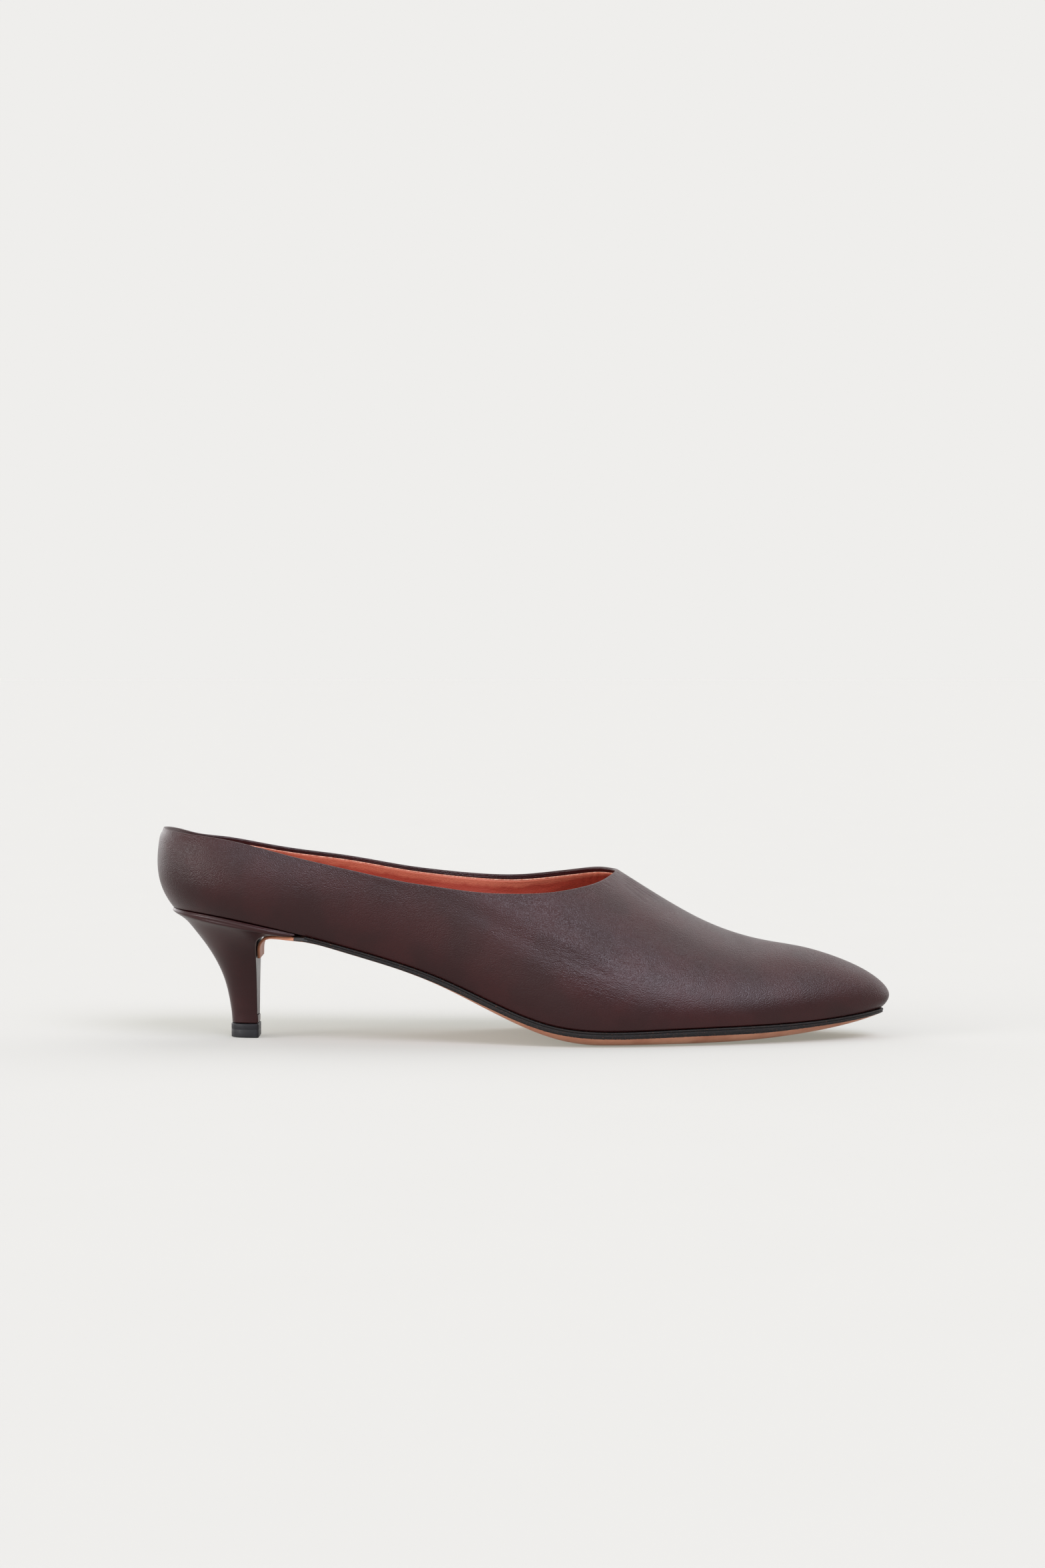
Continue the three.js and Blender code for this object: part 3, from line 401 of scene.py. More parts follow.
class Last:
    """The shoe's own surfaces, from its sizes and tables."""

    WALLS_END = 0.34
    ARCH_BEGINS = 0.47
    WIDTH_BLEND = (0.2, 0.6)

    def __init__(self, sizes):
        for name in type(sizes).__annotations__:
            setattr(self, name, getattr(sizes, name) / MM)
        self.along_curve = by_row(LAST, "along", 0, True, True)
        self.half_curve = {side: by_row(LAST, side) for side in SIDES}
        self.lift_curve = by_row(LAST, "lift", 0, True, True)
        self.spring_curve = by_row(LAST, "spring", 0, True, True)
        self.arch_curve = {key: by_row(ARCH, key, FIRST_ARCH) for key in ARCH[0]}
        self.wall_curve = {
            side: [by_along(WALLS[side], key) for key in ("low", "mid", "top")] for side in SIDES
        }
        self.topline_curve = {side: by_along(TOPLINE, side) for side in SIDES}
        self.throat_arch = self.arch_curve["height"](self.station_at(self.throat_along))
        self.fan_station = self.station_at(self.ARCH_BEGINS * self.length)

    def along(self, q):
        """Distance from the rear of the counter at a station."""
        return self.length * self.along_curve(q)

    def half(self, q, side):
        """Half width of the feather line on one side."""
        share = self.along_curve(q)
        start, end = self.WIDTH_BLEND
        width = mix(self.seat_width, self.ball_width, ease((share - start) / (end - start)))
        return self.half_curve[side](q) * width

    def feather_height(self, q):
        """Height of the feather line above the floor."""
        lift = (self.seat_height - self.feather_at_ball) * self.lift_curve(q)
        return self.feather_at_ball + lift + self.toe_rise * self.spring_curve(q)

    def feather(self, q, side):
        """The feather line, where the upper meets the sole."""
        return np.stack([self.along(q), SIGN[side] * self.half(q, side), self.feather_height(q)], axis=-1)

    def outward(self, q, side):
        """The feather line's outward direction, seen from above."""
        nudge = 0.001
        before = self.feather(np.maximum(0, q - nudge), side)
        after = self.feather(np.minimum(TIP, q + nudge), side)
        step = (after - before) * -SIGN[side]
        return unit(np.stack([step[..., 1], -step[..., 0], np.zeros_like(step[..., 0])], axis=-1))

    def station_at(self, along):
        """The station at a distance from the rear of the counter."""
        along = np.asarray(along, float)
        low, high = np.zeros_like(along), np.full_like(along, TIP)
        for _ in range(40):
            middle = (low + high) / 2
            short = self.along(middle) < along
            low, high = np.where(short, middle, low), np.where(short, high, middle)
        return (low + high) / 2

    def ridge_rise(self, q):
        """How high the ridge stands above the feather line."""
        return self.throat_rise * self.arch_curve["height"](np.maximum(q, FIRST_ARCH)) / self.throat_arch

    def arch_over(self, q, side):
        """The four control points of the arch from the feather line to the ridge."""
        foot = self.feather(q, side)
        shape = {key: curve(np.maximum(q, FIRST_ARCH)) for key, curve in self.arch_curve.items()}
        top = np.stack(
            [
                self.along(q) + self.length * shape["ahead"],
                self.ball_width * shape["lean"],
                self.feather_height(q) + self.ridge_rise(q),
            ],
            axis=-1,
        )
        half = self.half(q, side)
        low = foot + self.outward(q, side) * spread(shape["flare"] * half)
        low[..., 0] += (top - foot)[..., 0] * shape["up"]
        low[..., 2] += (top - foot)[..., 2] * shape["up"]
        high = top.copy()
        high[..., 1] += SIGN[side] * shape["crown"] * half
        return [foot, low, high, top]

    def topline_rise(self, along, side, drop=0.0):
        """The topline above the feather line, or a line that lies lower by drop all round it."""
        reach = self.throat_along + drop
        share = np.clip(along / reach, 0, 1)
        throat = self.ridge_rise(self.station_at(reach))
        rise = mix(self.counter_height, throat, share**4) * self.topline_curve[side](share)
        return rise - drop * (1 - share**6)

    def crossing(self, q, side, drop):
        """How far up the arch the topline crosses it."""
        arch = self.arch_over(q, side)
        target = self.feather_height(q) + self.topline_rise(self.along(q), side, drop)
        low, high = np.zeros_like(q), np.ones_like(q)
        for _ in range(36):
            middle = (low + high) / 2
            short = on_curve(arch, middle)[..., 2] < target
            low, high = np.where(short, middle, low), np.where(short, high, middle)
        return np.where(self.along(q) >= self.throat_along + drop - 1e-6, 1.0, high)

    def wall(self, q, side, drop):
        """The four control points of the wall behind the vamp, up to the topline."""
        foot, out = self.feather(q, side), self.outward(q, side)
        low, mid, top = (self.seat_width * curve(self.along_curve(q)) for curve in self.wall_curve[side])
        top_along = foot[..., 0] + out[..., 0] * top
        rise = self.topline_rise(top_along, side)
        curve = [foot]
        for offset, share in ((low, 1 / 3), (mid, 2 / 3), (top, 1)):
            point = foot + out * spread(offset)
            point[..., 2] += rise * share
            curve.append(point)
        return first_part(curve, self.topline_rise(top_along, side, drop) / rise)

    def rear_curve(self, q, side, drop):
        """The curve from the feather line to the topline, behind the fan of the throat."""
        arch = first_part(self.arch_over(q, side), self.crossing(q, side, drop))
        span = self.ARCH_BEGINS - self.WALLS_END
        blend = spread(ease((self.along_curve(q) - self.WALLS_END) / span))
        return [mix(a, b, blend) for a, b in zip(self.wall(q, side, drop), arch)]

    def even_tops(self, side, drop, throat, shares):
        """Stations whose tops are evenly spaced round the turn of the topline."""
        q = mix(throat, self.fan_station, np.linspace(1, 0, 900) ** 2)
        way = travelled(on_curve(self.arch_over(q, side), self.crossing(q, side, drop)))
        return np.interp(shares * way[-1], way, q)

    def columns(self, counts, drop):
        """The stations of the face's columns: behind the turn of the throat, round it and ahead of it."""
        rear, fan, vamp = counts
        throat = self.station_at(self.throat_along + drop)
        behind = np.linspace(0, self.fan_station, rear, endpoint=False)
        turning = mix(self.fan_station, throat, np.arange(fan) / fan)
        return behind, turning, np.linspace(throat, TIP, vamp + 1)

    def face(self, side, counts, rows, drop):
        """The upper's outer face on one side, as rows of points from the feather line up, and the index
        of the throat's column."""
        rear, fan, vamp = counts
        behind, turning, ahead = self.columns(counts, drop)
        t = np.linspace(0, 1, rows + 1)[:, None]
        back = on_curve(self.rear_curve(behind, side, drop), np.broadcast_to(t, (rows + 1, rear)))
        tops = self.even_tops(side, drop, ahead[0], np.arange(fan) / fan)
        q = mix(turning, tops, t * t)
        turn = on_curve(self.arch_over(q, side), t * self.crossing(tops, side, drop))
        front = on_curve(self.arch_over(ahead, side), np.broadcast_to(t, (rows + 1, vamp + 1)))
        points = np.concatenate([back, turn, front], axis=1)
        points[:, 0, 1] = 0.0
        return points, rear + fan


def both_sides(shape, counts, rows, drop):
    """The face's points on both sides, a seam's half gap above the sole, and the throat's column."""
    faces = {}
    for side in SIDES:
        faces[side], throat = shape.face(side, counts, rows, drop)
        faces[side][..., 2] += shape.seam_gap / 2
    faces["medial"][:, 0] = faces["lateral"][:, 0]
    return faces, throat


# Meshes
class Sheet:
    """Points and four-cornered faces of one piece, collected grid by grid."""

    def __init__(self):
        self.points, self.faces, self.finish, self.marks = [], [], [], {}
        self.count = 0

    def add_points(self, points, **marks):
        """Adds a block of points and returns their numbers in the block's own layout."""
        points = np.asarray(points, float)
        block = points.reshape(-1, 3)
        self.points.append(block)
        for name, values in marks.items():
            flat = np.broadcast_to(values, points.shape[:-1]).reshape(-1).astype(float)
            self.marks.setdefault(name, []).append((self.count, flat))
        numbers = np.arange(self.count, self.count + len(block)).reshape(points.shape[:-1])
        self.count += len(block)
        return numbers

    def add_grid(self, numbers, flip=False, closed=False, finish=0):
        """Faces between neighbouring rows and columns of numbered points."""
        if closed:
            numbers = np.concatenate([numbers, numbers[:, :1]], axis=1)
        a, b = numbers[:-1, :-1], numbers[:-1, 1:]
        c, d = numbers[1:, 1:], numbers[1:, :-1]
        corners = [a, d, c, b] if flip else [a, b, c, d]
        faces = np.stack([corner.reshape(-1) for corner in corners], axis=-1)
        self.faces.append(faces)
        self.finish.append(np.full(len(faces), finish))

    def weld(self):
        """Joins points that lie on each other, and drops faces that have no area left."""
        points, faces = np.concatenate(self.points), np.concatenate(self.faces)
        keys = np.round(points / 2e-4).astype(np.int64)
        _, first, inverse = np.unique(keys, axis=0, return_index=True, return_inverse=True)
        inverse = inverse.reshape(-1)
        self.numbering = inverse
        faces = inverse[faces]
        corners = np.sort(faces, axis=1)
        distinct = 1 + (np.diff(corners, axis=1) != 0).sum(axis=1)
        kept = distinct >= 3
        self.all_points, self.all_faces = points[first], faces[kept]
        self.all_finish = np.concatenate(self.finish)[kept]
        self.all_marks = {}
        for name, blocks in self.marks.items():
            values = np.zeros(self.count)
            for start, flat in blocks:
                values[start : start + len(flat)] = flat
            self.all_marks[name] = values[first]
        return self

    def normals(self):
        """The direction out of the sheet at each point."""
        corners = [self.all_points[self.all_faces[:, i]] for i in range(4)]
        area = np.cross(corners[2] - corners[0], corners[3] - corners[1])
        sums = np.zeros_like(self.all_points)
        for i in range(4):
            np.add.at(sums, self.all_faces[:, i], area)
        return unit(sums)

    def ring(self, numbers, throat):
        """The welded numbers of the points round the topline, from the throat over the back."""
        lateral, medial = (numbers[side][-1][: throat + 1] for side in SIDES)
        return self.numbering[np.concatenate([lateral[::-1], medial[1:-1]])]

    def extend(self, ring, band, flip, **marks):
        """Adds a band of points, closed round, to a ring of points of the welded sheet."""
        first = len(self.all_points)
        fresh = np.arange(first, first + band[..., 0].size).reshape(band.shape[:2])
        turned = Sheet()
        turned.add_grid(np.concatenate([ring[None, :], fresh]), closed=True, flip=flip)
        self.all_points = np.concatenate([self.all_points, band.reshape(-1, 3)])
        self.all_faces = np.concatenate([self.all_faces, turned.faces[0]])
        self.all_finish = np.concatenate([self.all_finish, turned.finish[0]])
        for name, values in self.all_marks.items():
            self.all_marks[name] = np.concatenate([values, np.full(fresh.size, marks.get(name, 0.0))])


def in_row_frame(points):
    """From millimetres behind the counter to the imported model's frame, in metres."""
    tip_low, tip_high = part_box("top_piece")
    shift = np.array([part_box("upper")[0].x, (tip_low.y + tip_high.y) / 2, 0.0])
    return points * MM + shift


def link_mesh(name, mesh, materials):
    """An object with that mesh and those materials, in the scene."""
    piece = bpy.data.objects.new(name, mesh)
    bpy.context.scene.collection.objects.link(piece)
    if not mesh.materials:
        for material in materials:
            mesh.materials.append(material)
    return piece


def make_piece(name, sheet, materials):
    """A smooth-shaded object from a welded sheet."""
    faces = []
    for face in sheet.all_faces.tolist():
        ring = [face[i] for i in range(4) if face[i] != face[i - 1]]
        faces.append(ring)
    mesh = bpy.data.meshes.new(name)
    mesh.from_pydata(in_row_frame(sheet.all_points).tolist(), [], faces)
    mesh.polygons.foreach_set("material_index", sheet.all_finish.astype(np.int32))
    mesh.shade_smooth()
    for mark, values in sheet.all_marks.items():
        attribute = mesh.attributes.new(mark, "FLOAT", "POINT")
        attribute.data.foreach_set("value", values.astype(np.float32))
    if mesh.validate():
        raise RuntimeError(f"{name} has faces that don't hold together")
    mesh.update()
    return link_mesh(name, mesh, materials)


def declare(piece, slot, *nodes):
    """Says which body carries a piece and which nodes it stands for; slot is not used."""
    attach(piece, "root")
    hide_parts(*nodes)


# Geometry Nodes: a round cord along an edge
CORD_SOCKETS = {
    "Path": "Geometry", "Radius": "Float", "Sides": "Int", "Roughness": "Float", "Grain": "Float",
    "Seed": "Float", "Finish": "Material",
}
CORD_NODES = {
    "given": "NodeGroupInput", "result": "NodeGroupOutput", "path": "GeometryNodeMeshToCurve",
    "circle": "GeometryNodeCurvePrimitiveCircle", "sweep": "GeometryNodeCurveToMesh",
    "position": "GeometryNodeSetPosition", "noise": "ShaderNodeTexNoise", "centred": "ShaderNodeMath",
    "amount": "ShaderNodeMath", "along": "ShaderNodeVectorMath", "normal": "GeometryNodeInputNormal",
    "smooth": "GeometryNodeSetShadeSmooth", "real": "GeometryNodeRealizeInstances",
    "finish": "GeometryNodeSetMaterial",
}
CORD_LINKS = (
    ("given", "Path", "path", "Mesh"),
    ("given", "Sides", "circle", "Resolution"),
    ("given", "Radius", "circle", "Radius"),
    ("path", "Curve", "sweep", "Curve"),
    ("circle", "Curve", "sweep", "Profile Curve"),
    ("given", "Grain", "noise", "Scale"),
    ("given", "Seed", "noise", "W"),
    ("noise", 0, "centred", 0),
    ("centred", 0, "amount", 0),
    ("given", "Roughness", "amount", 1),
    ("normal", "Normal", "along", 0),
    ("amount", 0, "along", "Scale"),
    ("sweep", "Mesh", "position", "Geometry"),
    ("along", 0, "position", "Offset"),
    ("position", "Geometry", "smooth", "Geometry"),
    ("smooth", "Geometry", "real", "Geometry"),
    ("real", "Geometry", "finish", "Geometry"),
    ("given", "Finish", "finish", "Material"),
    ("finish", "Geometry", "result", "Cord"),
)


def cord_tree():
    """Sweeps a circle along a path of edges, roughens it a little and gives it a material."""
    tree = bpy.data.node_groups.get("Cord along an edge")
    if tree:
        return tree
    tree = bpy.data.node_groups.new("Cord along an edge", "GeometryNodeTree")
    for name, kind in CORD_SOCKETS.items():
        tree.interface.new_socket(name, in_out="INPUT", socket_type="NodeSocket" + kind)
    tree.interface.new_socket("Cord", in_out="OUTPUT", socket_type="NodeSocketGeometry")
    nodes = {name: tree.nodes.new(kind) for name, kind in CORD_NODES.items()}
    nodes["noise"].noise_dimensions = "4D"
    nodes["centred"].operation, nodes["centred"].inputs[1].default_value = "SUBTRACT", 0.5
    nodes["amount"].operation, nodes["along"].operation = "MULTIPLY", "SCALE"
    nodes["sweep"].inputs["Fill Caps"].default_value = True
    for start, output, end, socket in CORD_LINKS:
        tree.links.new(nodes[start].outputs[output], nodes[end].inputs[socket])
    return tree


def cord_along(name, points, closed, material, radius, sides=8, roughness=0.0, grain=900.0, seed=1.0):
    """A cord through points in millimetres, made by the cord tree and kept as a plain mesh."""
    count = len(points)
    edges = [(i, i + 1) for i in range(count - 1)] + ([(count - 1, 0)] if closed else [])
    path = bpy.data.meshes.new(name + "_path")
    path.from_pydata(in_row_frame(points).tolist(), edges, [])
    carrier = bpy.data.objects.new(name + "_path", path)
    bpy.context.scene.collection.objects.link(carrier)
    tree = cord_tree()
    modifier = carrier.modifiers.new("Cord", "NODES")
    modifier.node_group = tree
    values = {
        "Radius": radius * MM, "Sides": sides, "Roughness": roughness * MM,
        "Grain": grain, "Seed": seed, "Finish": material,
    }
    for socket in tree.interface.items_tree:
        if socket.in_out == "INPUT" and socket.name in values:
            modifier[socket.identifier] = values[socket.name]
    carrier.update_tag()
    graph = bpy.context.evaluated_depsgraph_get()
    mesh = bpy.data.meshes.new_from_object(carrier.evaluated_get(graph))
    carrier.modifiers.remove(modifier)
    bpy.data.objects.remove(carrier)
    mesh.name = name
    if not mesh.polygons:
        raise RuntimeError(f"{name} came out empty")
    return link_mesh(name, mesh, [material])


# Materials
class Finish:
    """A material whose nodes are added one after the other."""

    def __init__(self, name):
        self.material = bpy.data.materials.new(name)
        self.material.use_nodes = True
        self.tree = self.material.node_tree
        self.tree.nodes.clear()
        self.shader = self.node("ShaderNodeBsdfPrincipled")
        output = self.node("ShaderNodeOutputMaterial")
        self.join(self.shader.outputs["BSDF"], output.inputs["Surface"])
        self.place = self.node("ShaderNodeTexCoord").outputs["Object"]
        self.normal = None

    def node(self, kind, **settings):
        """Adds a node with its own settings."""
        node = self.tree.nodes.new(kind)
        for key, value in settings.items():
            setattr(node, key, value)
        return node

    def join(self, source, target):
        """Links one node's output to another's input."""
        self.tree.links.new(source, target)

    def feed(self, target, value):
        """Sets a socket to a number, or joins another node's output to it."""
        if isinstance(value, bpy.types.NodeSocket):
            self.join(value, target)
        else:
            target.default_value = value

    def stretched(self, scale, fall=0.0):
        """Object coordinates, scaled by three numbers for each millimetre. The first runs from the heel to
        the toe and falls by so many degrees."""
        turned, mapping = self.node("ShaderNodeMapping"), self.node("ShaderNodeMapping")
        turned.inputs["Rotation"].default_value = (0.0, -math.radians(fall), 0.0)
        mapping.inputs["Scale"].default_value = [value / MM for value in scale]
        self.join(self.place, turned.inputs["Vector"])
        self.join(turned.outputs["Vector"], mapping.inputs["Vector"])
        return mapping.outputs["Vector"]

    def noise(self, size, detail=2.0, roughness=0.5, vector=None, distortion=0.0):
        """Cloudy noise whose blotches are about size millimetres across."""
        node = self.node("ShaderNodeTexNoise")
        node.inputs["Scale"].default_value = 1.0 if vector else 1 / (size * MM)
        node.inputs["Detail"].default_value = detail
        node.inputs["Roughness"].default_value = roughness
        node.inputs["Distortion"].default_value = distortion
        self.join(vector or self.place, node.inputs["Vector"])
        return node.outputs[0]

    def pebbles(self, size):
        """Distance from the middle of each pebble of the grain, for pebbles of a size in millimetres."""
        node = self.node("ShaderNodeTexVoronoi", feature="SMOOTH_F1")
        node.inputs["Scale"].default_value = 1 / (size * MM)
        node.inputs["Randomness"].default_value = 1.0
        node.inputs["Smoothness"].default_value = 0.35
        self.join(self.place, node.inputs["Vector"])
        return node.outputs["Distance"]

    def mark(self, name):
        """A value that the mesh carries at its points."""
        return self.node("ShaderNodeAttribute", attribute_name=name).outputs["Fac"]

    def maths(self, operation, a, b=0.0, clamp=False):
        """One sum or product of two values, each a number or a socket."""
        node = self.node("ShaderNodeMath", operation=operation, use_clamp=clamp)
        self.feed(node.inputs[0], a)
        self.feed(node.inputs[1], b)
        return node.outputs[0]

    def between(self, value, low, high, to_low=0.0, to_high=1.0):
        """Eases a value from one range to another."""
        node = self.node("ShaderNodeMapRange", interpolation_type="SMOOTHSTEP")
        self.feed(node.inputs["Value"], value)
        for key, number in (("From Min", low), ("From Max", high), ("To Min", to_low), ("To Max", to_high)):
            node.inputs[key].default_value = number
        return node.outputs["Result"]

    def blend(self, share, first, second):
        """A colour between two others, each a colour or a socket."""
        node = self.node("ShaderNodeMix", data_type="RGBA")
        self.feed(node.inputs[0], share)
        for socket, value in ((node.inputs[6], first), (node.inputs[7], second)):
            self.feed(socket, value if isinstance(value, bpy.types.NodeSocket) else (*value, 1.0))
        return node.outputs[2]

    def bump(self, height, depth, strength=1.0):
        """Relief of a depth in millimetres, laid over what was bumped before."""
        node = self.node("ShaderNodeBump")
        node.inputs["Distance"].default_value = depth * MM
        self.feed(node.inputs["Strength"], strength)
        self.join(height, node.inputs["Height"])
        if self.normal:
            self.join(self.normal, node.inputs["Normal"])
        self.normal = node.outputs["Normal"]

    def done(self, colour, roughness, **settings):
        """Joins colour, roughness and relief to the shader, and sets its other sockets."""
        self.feed(self.shader.inputs["Base Color"], colour)
        self.feed(self.shader.inputs["Roughness"], roughness)
        for name, value in settings.items():
            self.shader.inputs[name.replace("_", " ")].default_value = value
        if self.normal:
            self.join(self.normal, self.shader.inputs["Normal"])
        return self.material


def material_once(name, make):
    """The material of that name, made the first time it is asked for."""
    return bpy.data.materials.get(name) or make(name)


def shades(*names):
    """Colours of the panel, by their names."""
    return [tuple(getattr(bpy.context.scene.mule_colours, name)) for name in names]


def smooth_leather(name):
    """Smooth calf with a fine pebbled grain, which is tighter where the leather is stretched."""
    finish = Finish(name)
    clouds = finish.noise(16, detail=3)
    light, deep = shades("leather", "leather_deep")
    tone = finish.blend(finish.between(clouds, 0.35, 0.65), light, deep)
    pebble = finish.pebbles(0.36)
    pore = finish.between(pebble, 0.3, 0.75)
    tone = finish.blend(finish.maths("MULTIPLY", pore, 0.45), tone, deep)
    fine = finish.noise(0.2, detail=2, roughness=0.6)
    strength = finish.maths("ADD", finish.maths("MULTIPLY", finish.mark("grain"), 0.85), 0.15, clamp=True)
    break_lines = finish.noise(1.0, detail=3, vector=finish.stretched((0.22, 0.5, 0.95), 14), distortion=0.5)
    folds = finish.noise(1.0, detail=2, vector=finish.stretched((0.07, 0.4, 0.8), 30), distortion=0.4)
    finish.bump(finish.noise(5, detail=2), 0.05, 0.6)
    finish.bump(break_lines, 0.22, finish.mark("creased"))
    finish.bump(folds, 0.5, finish.mark("folded"))
    finish.bump(finish.maths("SUBTRACT", 1.0, pebble), 0.11, strength)
    finish.bump(fine, 0.03, 0.7)
    wear = finish.noise(9, detail=4, roughness=0.6)
    roughness = finish.between(wear, 0.3, 0.7, 0.29, 0.36)
    return finish.done(tone, roughness, Specular_IOR_Level=0.3)


def lining_leather(name):
    """Undyed-looking kid lining with open pores. Its lighter upper strip is painted light where the top
    faces up, and the deeper, redder colour below is painted shade further down inside the shoe.
    """
    finish = Finish(name)
    clouds = finish.noise(4.5, detail=4, roughness=0.6)
    # Painted light and shade: the lit colour in the top few millimetres of the lining, the shaded colour
    # further down.
    edge = finish.maths("ADD", finish.mark("below"), finish.maths("MULTIPLY", clouds, 2.6))
    strip = finish.between(edge, 2.7, 4.6)
    light, deep = shades("lining", "lining_painted_shade")
    tone = finish.blend(strip, light, deep)
    pebble = finish.pebbles(0.5)
    tone = finish.blend(finish.between(pebble, 0.35, 0.85, 0.0, 0.25), tone, deep)
    along = finish.noise(1.0, detail=3, vector=finish.stretched((0.2, 0.4, 0.9), 8), distortion=0.5)
    finish.bump(along, 0.16, 0.7)
    finish.bump(finish.maths("SUBTRACT", 1.0, pebble), 0.08, 0.8)
    finish.bump(finish.noise(0.4, detail=2), 0.03, 0.6)
    return finish.done(tone, finish.between(clouds, 0.3, 0.7, 0.48, 0.6), Specular_IOR_Level=0.4)


def cut_edge(name):
    """The raw edge of the lining, pale and fibrous: partly its own raw paleness, partly a painted highlight
    where the edge faces up.
    """
    finish = Finish(name)
    fibres = finish.noise(0.8, detail=3, roughness=0.7)
    tone = finish.blend(finish.between(fibres, 0.3, 0.7), *shades("lining_edge", "lining"))
    finish.bump(fibres, 0.05, 0.8)
    return finish.done(tone, 0.7, Specular_IOR_Level=0.3)


def sole_leather(name):
    """Vegetable-tanned sole leather, sealed, with drawn-out fibres and rubbed patches."""
    finish = Finish(name)
    clouds = finish.noise(12, detail=4, roughness=0.55)
    fibres = finish.noise(1.0, detail=3, vector=finish.stretched((0.35, 2.2, 2.2)))
    light, deep, dye = shades("sole", "sole_deep", "dye")
    tone = finish.blend(finish.between(clouds, 0.3, 0.7), light, deep)
    tone = finish.blend(finish.between(fibres, 0.45, 0.75, 0.0, 0.35), tone, deep)
    bleed = finish.maths("ADD", finish.mark("from_dye"), finish.noise(0.5, detail=3, roughness=0.7))
    tone = finish.blend(finish.between(bleed, 0.62, 0.82), dye, tone)
    finish.bump(fibres, 0.06, 0.5)
    finish.bump(finish.noise(0.5, detail=3, roughness=0.7), 0.03, 0.6)
    roughness = finish.between(clouds, 0.3, 0.7, 0.46, 0.6)
    return finish.done(tone, roughness, Specular_IOR_Level=0.4, Coat_Weight=0.1, Coat_Roughness=0.35)


def dyed_edge(name):
    """Sole edge, dyed and waxed, with the rough layers of the leather under the wax."""
    finish = Finish(name)
    layers = finish.noise(1.0, detail=4, roughness=0.6, vector=finish.stretched((0.5, 0.5, 4.0)))
    specks = finish.noise(0.32, detail=3, roughness=0.7)
    worn = finish.between(specks, 0.6, 0.72, 0.0, 0.4)
    tone = finish.blend(worn, *shades("dye", "sole_deep"))
    finish.bump(layers, 0.1, 0.8)
    finish.bump(specks, 0.16, 0.9)
    return finish.done(tone, finish.between(layers, 0.3, 0.7, 0.4, 0.6), Specular_IOR_Level=0.22)


def worn_rubber(name):
    """Semi-matt rubber of the top piece, with moulding marks and scuffs."""
    finish = Finish(name)
    scuffs = finish.noise(1.0, detail=4, roughness=0.7, vector=finish.stretched((0.6, 2.5, 0.9)))
    specks = finish.noise(0.35, detail=2)
    (black,) = shades("rubber")
    rubbed = tuple(min(1.0, value * 2.0 + 0.006) for value in black)
    tone = finish.blend(finish.between(scuffs, 0.5, 0.8, 0.0, 0.5), black, rubbed)
    finish.bump(scuffs, 0.05, 0.5)
    finish.bump(specks, 0.03, 0.7)
    return finish.done(tone, finish.between(scuffs, 0.3, 0.7, 0.42, 0.6), Specular_IOR_Level=0.28)


# Relief of the leather
def distance_to_run(points, run):
    """Distance from points seen from the side to a line of points, and the share of the way along it."""
    best = np.full(len(points), np.inf)
    share = np.zeros(len(points))
    run = np.asarray(run, float)
    for i in range(len(run) - 1):
        step = run[i + 1] - run[i]
        t = np.clip(((points - run[i]) @ step) / (step @ step), 0, 1)
        gap = np.linalg.norm(points - (run[i] + t[:, None] * step), axis=1)
        nearer = gap < best
        best[nearer] = gap[nearer]
        share[nearer] = (i + t[nearer]) / (len(run) - 1)
    return best, share


def faded(share):
    """Fades a crease out at both its ends."""
    return ease(share / 0.3) * ease((1 - share) / 0.3)


def undulation(points):
    """Slow, shallow waves that any lasted leather has, in millimetres."""
    x, y, z = points.T
    waves = np.sin(x / 7.3 + 1.1 * np.sin(z / 9.1)) + np.sin(z / 4.7 + x / 11.9 + y / 15.0)
    return 0.03 * waves + 0.02 * np.sin(x / 3.9 + z / 5.3 + 2.0)


def crease_relief(points):
    """How far the leather moves out of its plain face, in millimetres."""
    relief = undulation(points)
    for side in SIDES:
        here = points[:, 1] * SIGN[side] > 6
        seen = points[here][:, [0, 2]]
        moved = np.zeros(len(seen))
        for crease in CREASES[side]:
            gap, share = distance_to_run(seen, crease["run"])
            moved -= crease["depth"] * bell(gap, crease["width"]) * faded(share)
        relief[here] += moved * ease((np.abs(points[here][:, 1]) - 6) / 6)
    return relief


def throat_relief(shape, along, from_ridge):
    """The folds that fan out of the throat, in millimetres."""
    begins = shape.throat_along + 1.2
    moved = np.zeros_like(along)
    for fold in THROAT_FOLDS:
        share = (along - shape.throat_along + 1.5) / fold["length"]
        centre = mix(fold["start"], fold["end"], share)
        moved -= fold["depth"] * bell(from_ridge - centre, fold["width"]) * faded(share)
    return moved * ease((along - shape.throat_along + 30) / 30) * ease((along - begins) / 2)


# Pieces
# Where the leather is creased and folded: the patch's middle along the shoe and how far it reaches, then
# the same for its height above the floor (creased) or its distance from the ridge (folded).
CREASED = dict(along=150, length=30, middle=30, spread=13)
FOLDED = dict(along=160, length=9, middle=4, spread=5)


def patch(along, other, spot):
    """How far a point lies in a worked patch, by its place along the shoe and one other measure."""
    return bell(along - spot["along"], spot["length"]) * bell(other - spot["middle"], spot["spread"])


def turned_edge(edge, out, radius, facing):
    """The leather's turn over the topline, swept round it from the outside to the facing."""
    tangent = unit(np.roll(edge, -1, axis=0) - np.roll(edge, 1, axis=0))
    out = unit(out - tangent * (out * tangent).sum(axis=1, keepdims=True))
    up = np.cross(tangent, out)
    up *= np.sign(up[:, 2].mean())
    profile = [(math.cos(turn), math.sin(turn)) for turn in np.linspace(0, math.pi, 11)]
    rings = [edge + radius * ((c - 1) * out + s * up) for c, s in profile[1:]]
    inner = rings[-1]
    for depth, lean in ((0.3, 0.1), (0.6, 0.2), (1.0, 0.28), (2.9, -0.3)):
        rings.append(inner - up * facing * depth - out * lean)
    return np.stack(rings)


